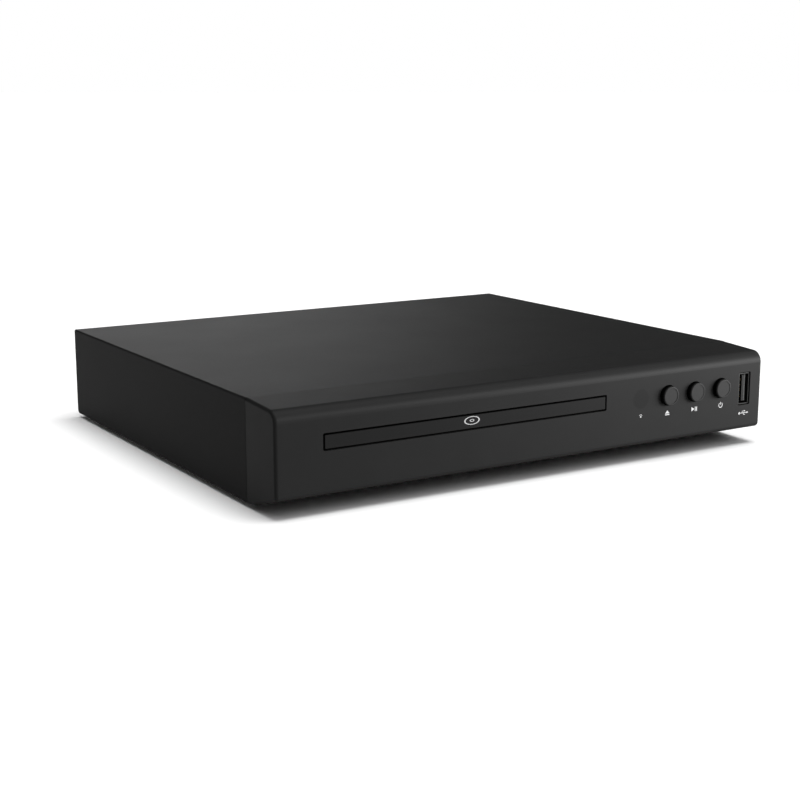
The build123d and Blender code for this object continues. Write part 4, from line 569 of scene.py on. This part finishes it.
def tongue_plastic(s):
    front = along(s.node("NewGeometry", give="Normal"))[1].below(-0.9, -0.5)
    # A painted highlight: a pale strip on the outer edge of the tongue's front face.
    lip_highlight = front * along(place(s))[0].above(highlight_from_x, highlight_full_x)
    return {
        "Base Color": lip_highlight.blend(grey(0.002), grey(0.05)),
        "Roughness": 0.45 + 0.1 * grains(s, 0.0008),
        "Specular IOR Level": 0.1,
    }


dress(finish("shell_painted_shade", shell_painted_shade), "usb_shell")
dress(finish("tongue_plastic", tongue_plastic), "usb_tongue")
contact_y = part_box("usb_tongue")[0].y + contact_from_mouth
contact_work = bmesh.new()
for step in contact_steps:
    spring = bmesh.ops.create_cube(contact_work, size=1.0)["verts"]
    size = (contact_thick, contact_long, contact_wide)
    bmesh.ops.scale(contact_work, verts=spring, vec=size)
    spot = (contact_x, contact_y, socket_mid_z + step)
    bmesh.ops.translate(contact_work, verts=spring, vec=spot)
bmesh.ops.bevel(
    contact_work,
    geom=contact_work.edges[:],
    offset=contact_edge,
    segments=2,
    affect="EDGES",
)
gilt = finish("contact_gilt", metal(tone=0.55, rough=0.25, tint=(1, 0.85, 0.55)))
usb_contacts = shaped("usb_contacts", contact_work, gilt)
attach(usb_contacts, "player")
on_player.objects.link(usb_contacts)


# ------------------------------------------------------------- top cover
# The cover is one steel sheet folded down at both sides and over the rear
# panel, powder coated satin black. The coat is slightly pebbled.
pebble_size, pebble_depth = 0.0006, 0.00004
coat_gloss = 0.010


def powder_coat(s):
    pebble = grains(s, pebble_size, 2.0)
    cloud = grains(s, 0.035, 3.0)
    return {
        "Base Color": cloud.blend(grey(0.0088), grey(0.0102)),
        "Roughness": 0.38 + 0.05 * cloud + 0.04 * pebble,
        "Specular IOR Level": coat_gloss,
        "Normal": bumped(s, pebble, pebble_depth, 0.35),
    }


dress(finish("cover_coat", powder_coat), "top_cover")


# ---------------------------------------------------------- cover screws
# Three pan head screws in black zinc hold the cover to the rear panel. Each
# is turned from its half profile, and a tapered cross is cut in its head.
head_high, head_wide, head_rim = 0.0019, 0.0028, 0.0007
thread_wide, point_wide = 0.00145, 0.00118
screw_long, point_from = 0.006, 0.0054
screw_sides = 40
slot_long, slot_thin, slot_deep = 0.0034, 0.00062, 0.0024
slot_taper = 0.45
screw_places, screw_z = (-0.092, 0.0, 0.092), 0.036
weld = 1e-6


def black_zinc(s):
    worn = grains(s, 0.0012, 4.0)
    return {
        "Base Color": worn.blend(grey(0.012), grey(0.03)),
        "Metallic": 0.4,
        "Roughness": 0.38 + 0.15 * worn,
    }


black_plating = finish("black_zinc", black_zinc)
dress(black_plating, "cover_screws")

seat_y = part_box("cover_screws")[1].y - head_high
half_profile = (
    (0, -screw_long),
    (point_wide, -screw_long),
    (thread_wide, -point_from),
    (thread_wide, 0),
    (head_wide, 0),
    (head_wide, head_rim),
    (0.00262, 0.00115),
    (0.0022, 0.00155),
    (0.0014, 0.00182),
    (0, head_high),
)
turned = bmesh.new()
points = [turned.verts.new((r, seat_y + y, 0)) for r, y in half_profile]
lines = [turned.edges.new(pair) for pair in zip(points, points[1:])]
bmesh.ops.spin(
    turned,
    geom=points + lines,
    cent=(0, 0, 0),
    axis=(0, 1, 0),
    angle=2 * pi,
    steps=screw_sides,
)
bmesh.ops.remove_doubles(turned, verts=turned.verts, dist=weld)
bmesh.ops.recalc_face_normals(turned, faces=turned.faces)
turned_screw = shaped("turned_screw", turned)

cross = bmesh.new()
for wide, tall in ((slot_long, slot_thin), (slot_thin, slot_long)):
    wing = bmesh.ops.create_cube(cross, size=1.0)["verts"]
    bmesh.ops.scale(cross, verts=wing, vec=(wide, slot_deep, tall))
    bmesh.ops.translate(cross, verts=wing, vec=(0, seat_y + head_high, 0))
    for corner in wing:
        if corner.co.y < seat_y + head_high:
            corner.co.x *= slot_taper
            corner.co.z *= slot_taper
cross_recess = shaped("cross_recess", cross)

recess = turned_screw.modifiers.new("recess", "BOOLEAN")
recess.object = cross_recess
recess.use_self = True
cut_screw = turned_screw.evaluated_get(bpy.context.evaluated_depsgraph_get())
one_screw = bpy.data.meshes.new_from_object(cut_screw)
for helper in (turned_screw, cross_recess):
    bpy.data.objects.remove(helper)

three = bmesh.new()
for x in screw_places:
    before = set(three.verts)
    three.from_mesh(one_screw)
    fresh = [vert for vert in three.verts if vert not in before]
    bmesh.ops.translate(three, verts=fresh, vec=(x, 0, screw_z))
cross_screws = shaped("cross_head_screws", three, black_plating)
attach(cross_screws, "player")
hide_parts("cover_screws")


# --------------------------------------------------------- printed marks
# Small signs are printed in pale grey ink under each button and the window,
# beside the upright socket and on the door. Their outlines are in mm.
def ink(s):
    speck = grains(s, 0.0003, 3.0)
    return {
        "Base Color": speck.blend(grey(0.20), grey(0.30)),
        "Roughness": 0.55 + 0.1 * speck,
    }


ink_film = finish("ink", ink)
ink_thick = 0.00004
face_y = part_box("tray_door")[0].y
mm = 1000


def printed(name, body, outlines, x, z):
    """Flat outlines about x, z, printed on the front face."""
    print_work = bmesh.new()
    for outline in outlines:
        print_work.faces.new(
            [print_work.verts.new((x + u / mm, face_y, z + w / mm)) for u, w in outline]
        )
    made = bmesh.ops.extrude_face_region(print_work, geom=list(print_work.faces))
    moved = [g for g in made["geom"] if isinstance(g, bmesh.types.BMVert)]
    bmesh.ops.translate(print_work, verts=moved, vec=(0, -ink_thick, 0))
    bmesh.ops.recalc_face_normals(print_work, faces=print_work.faces)
    mark = shaped(name, print_work, ink_film)
    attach(mark, body)
    on_player.objects.link(mark)


def bar(u0, w0, u1, w1):
    return [(u0, w0), (u1, w0), (u1, w1), (u0, w1)]


def ring(outer, inner, start=0, end=360, count=28):
    """A ring or part of one, as short pieces side by side."""
    pieces = []
    for k in range(count):
        a = radians(start + (end - start) * k / count)
        b = radians(start + (end - start) * (k + 1) / count)
        corners = ((outer, a), (outer, b), (inner, b), (inner, a))
        pieces.append([(r * cos(turn), r * sin(turn)) for r, turn in corners])
    return pieces


button_marks_z, socket_mark_z, disc_mark_z = 0.0187, 0.0139, 0.02695
eject_x, play_x, power_x, remote_x = 0.0631, 0.0777, 0.0923, 0.0491
socket_x, disc_x = 0.1056, -0.0329

arrow_up = [(-1.15, -0.2), (1.15, -0.2), (0, 1.1)]
sill = bar(-1.15, -0.9, 1.15, -0.5)
printed("mark_eject", "player", [arrow_up, sill], eject_x, button_marks_z)

arrow_on = [(-1.5, -0.9), (0.1, 0), (-1.5, 0.9)]
halt = [bar(0.35, -0.9, 0.75, 0.9), bar(1.1, -0.9, 1.5, 0.9)]
printed("mark_play", "player", [arrow_on] + halt, play_x, button_marks_z)

open_ring = ring(1.15, 0.85, 125, 415)
stroke = bar(-0.15, 0.2, 0.15, 1.3)
printed("mark_power", "player", open_ring + [stroke], power_x, button_marks_z)

dot = ring(0.35, 0.0, count=16)
wave = ring(0.95, 0.75, 30, 150, count=12)
printed("mark_remote", "player", dot + wave, remote_x, button_marks_z)

stem = [bar(-2.4, -0.12, 1.8, 0.12), [(1.8, -0.45), (2.7, 0), (1.8, 0.45)]]
upper_branch = [bar(-0.9, 0.12, -0.68, 0.9), bar(-0.9, 0.68, 0.4, 0.9)]
lower_branch = [bar(-0.2, -0.9, 0.02, -0.12), bar(-0.2, -0.9, 0.9, -0.68)]
square_end = bar(0.4, 0.55, 0.85, 1.03)
root_u = -2.4
root = [[(u + root_u, w) for u, w in piece] for piece in ring(0.5, 0.0, count=12)]
fork = stem + upper_branch + lower_branch + [square_end] + root
printed("mark_socket", "player", fork, socket_x, socket_mark_z)

disc_across, disc_up = 2.5, 1.15
disc = ring(1.4, 1.18) + ring(0.42, 0.25, count=16)
disc_seen = [[(disc_across * u, disc_up * w) for u, w in piece] for piece in disc]
printed("mark_disc", "tray", disc_seen, disc_x, disc_mark_z)
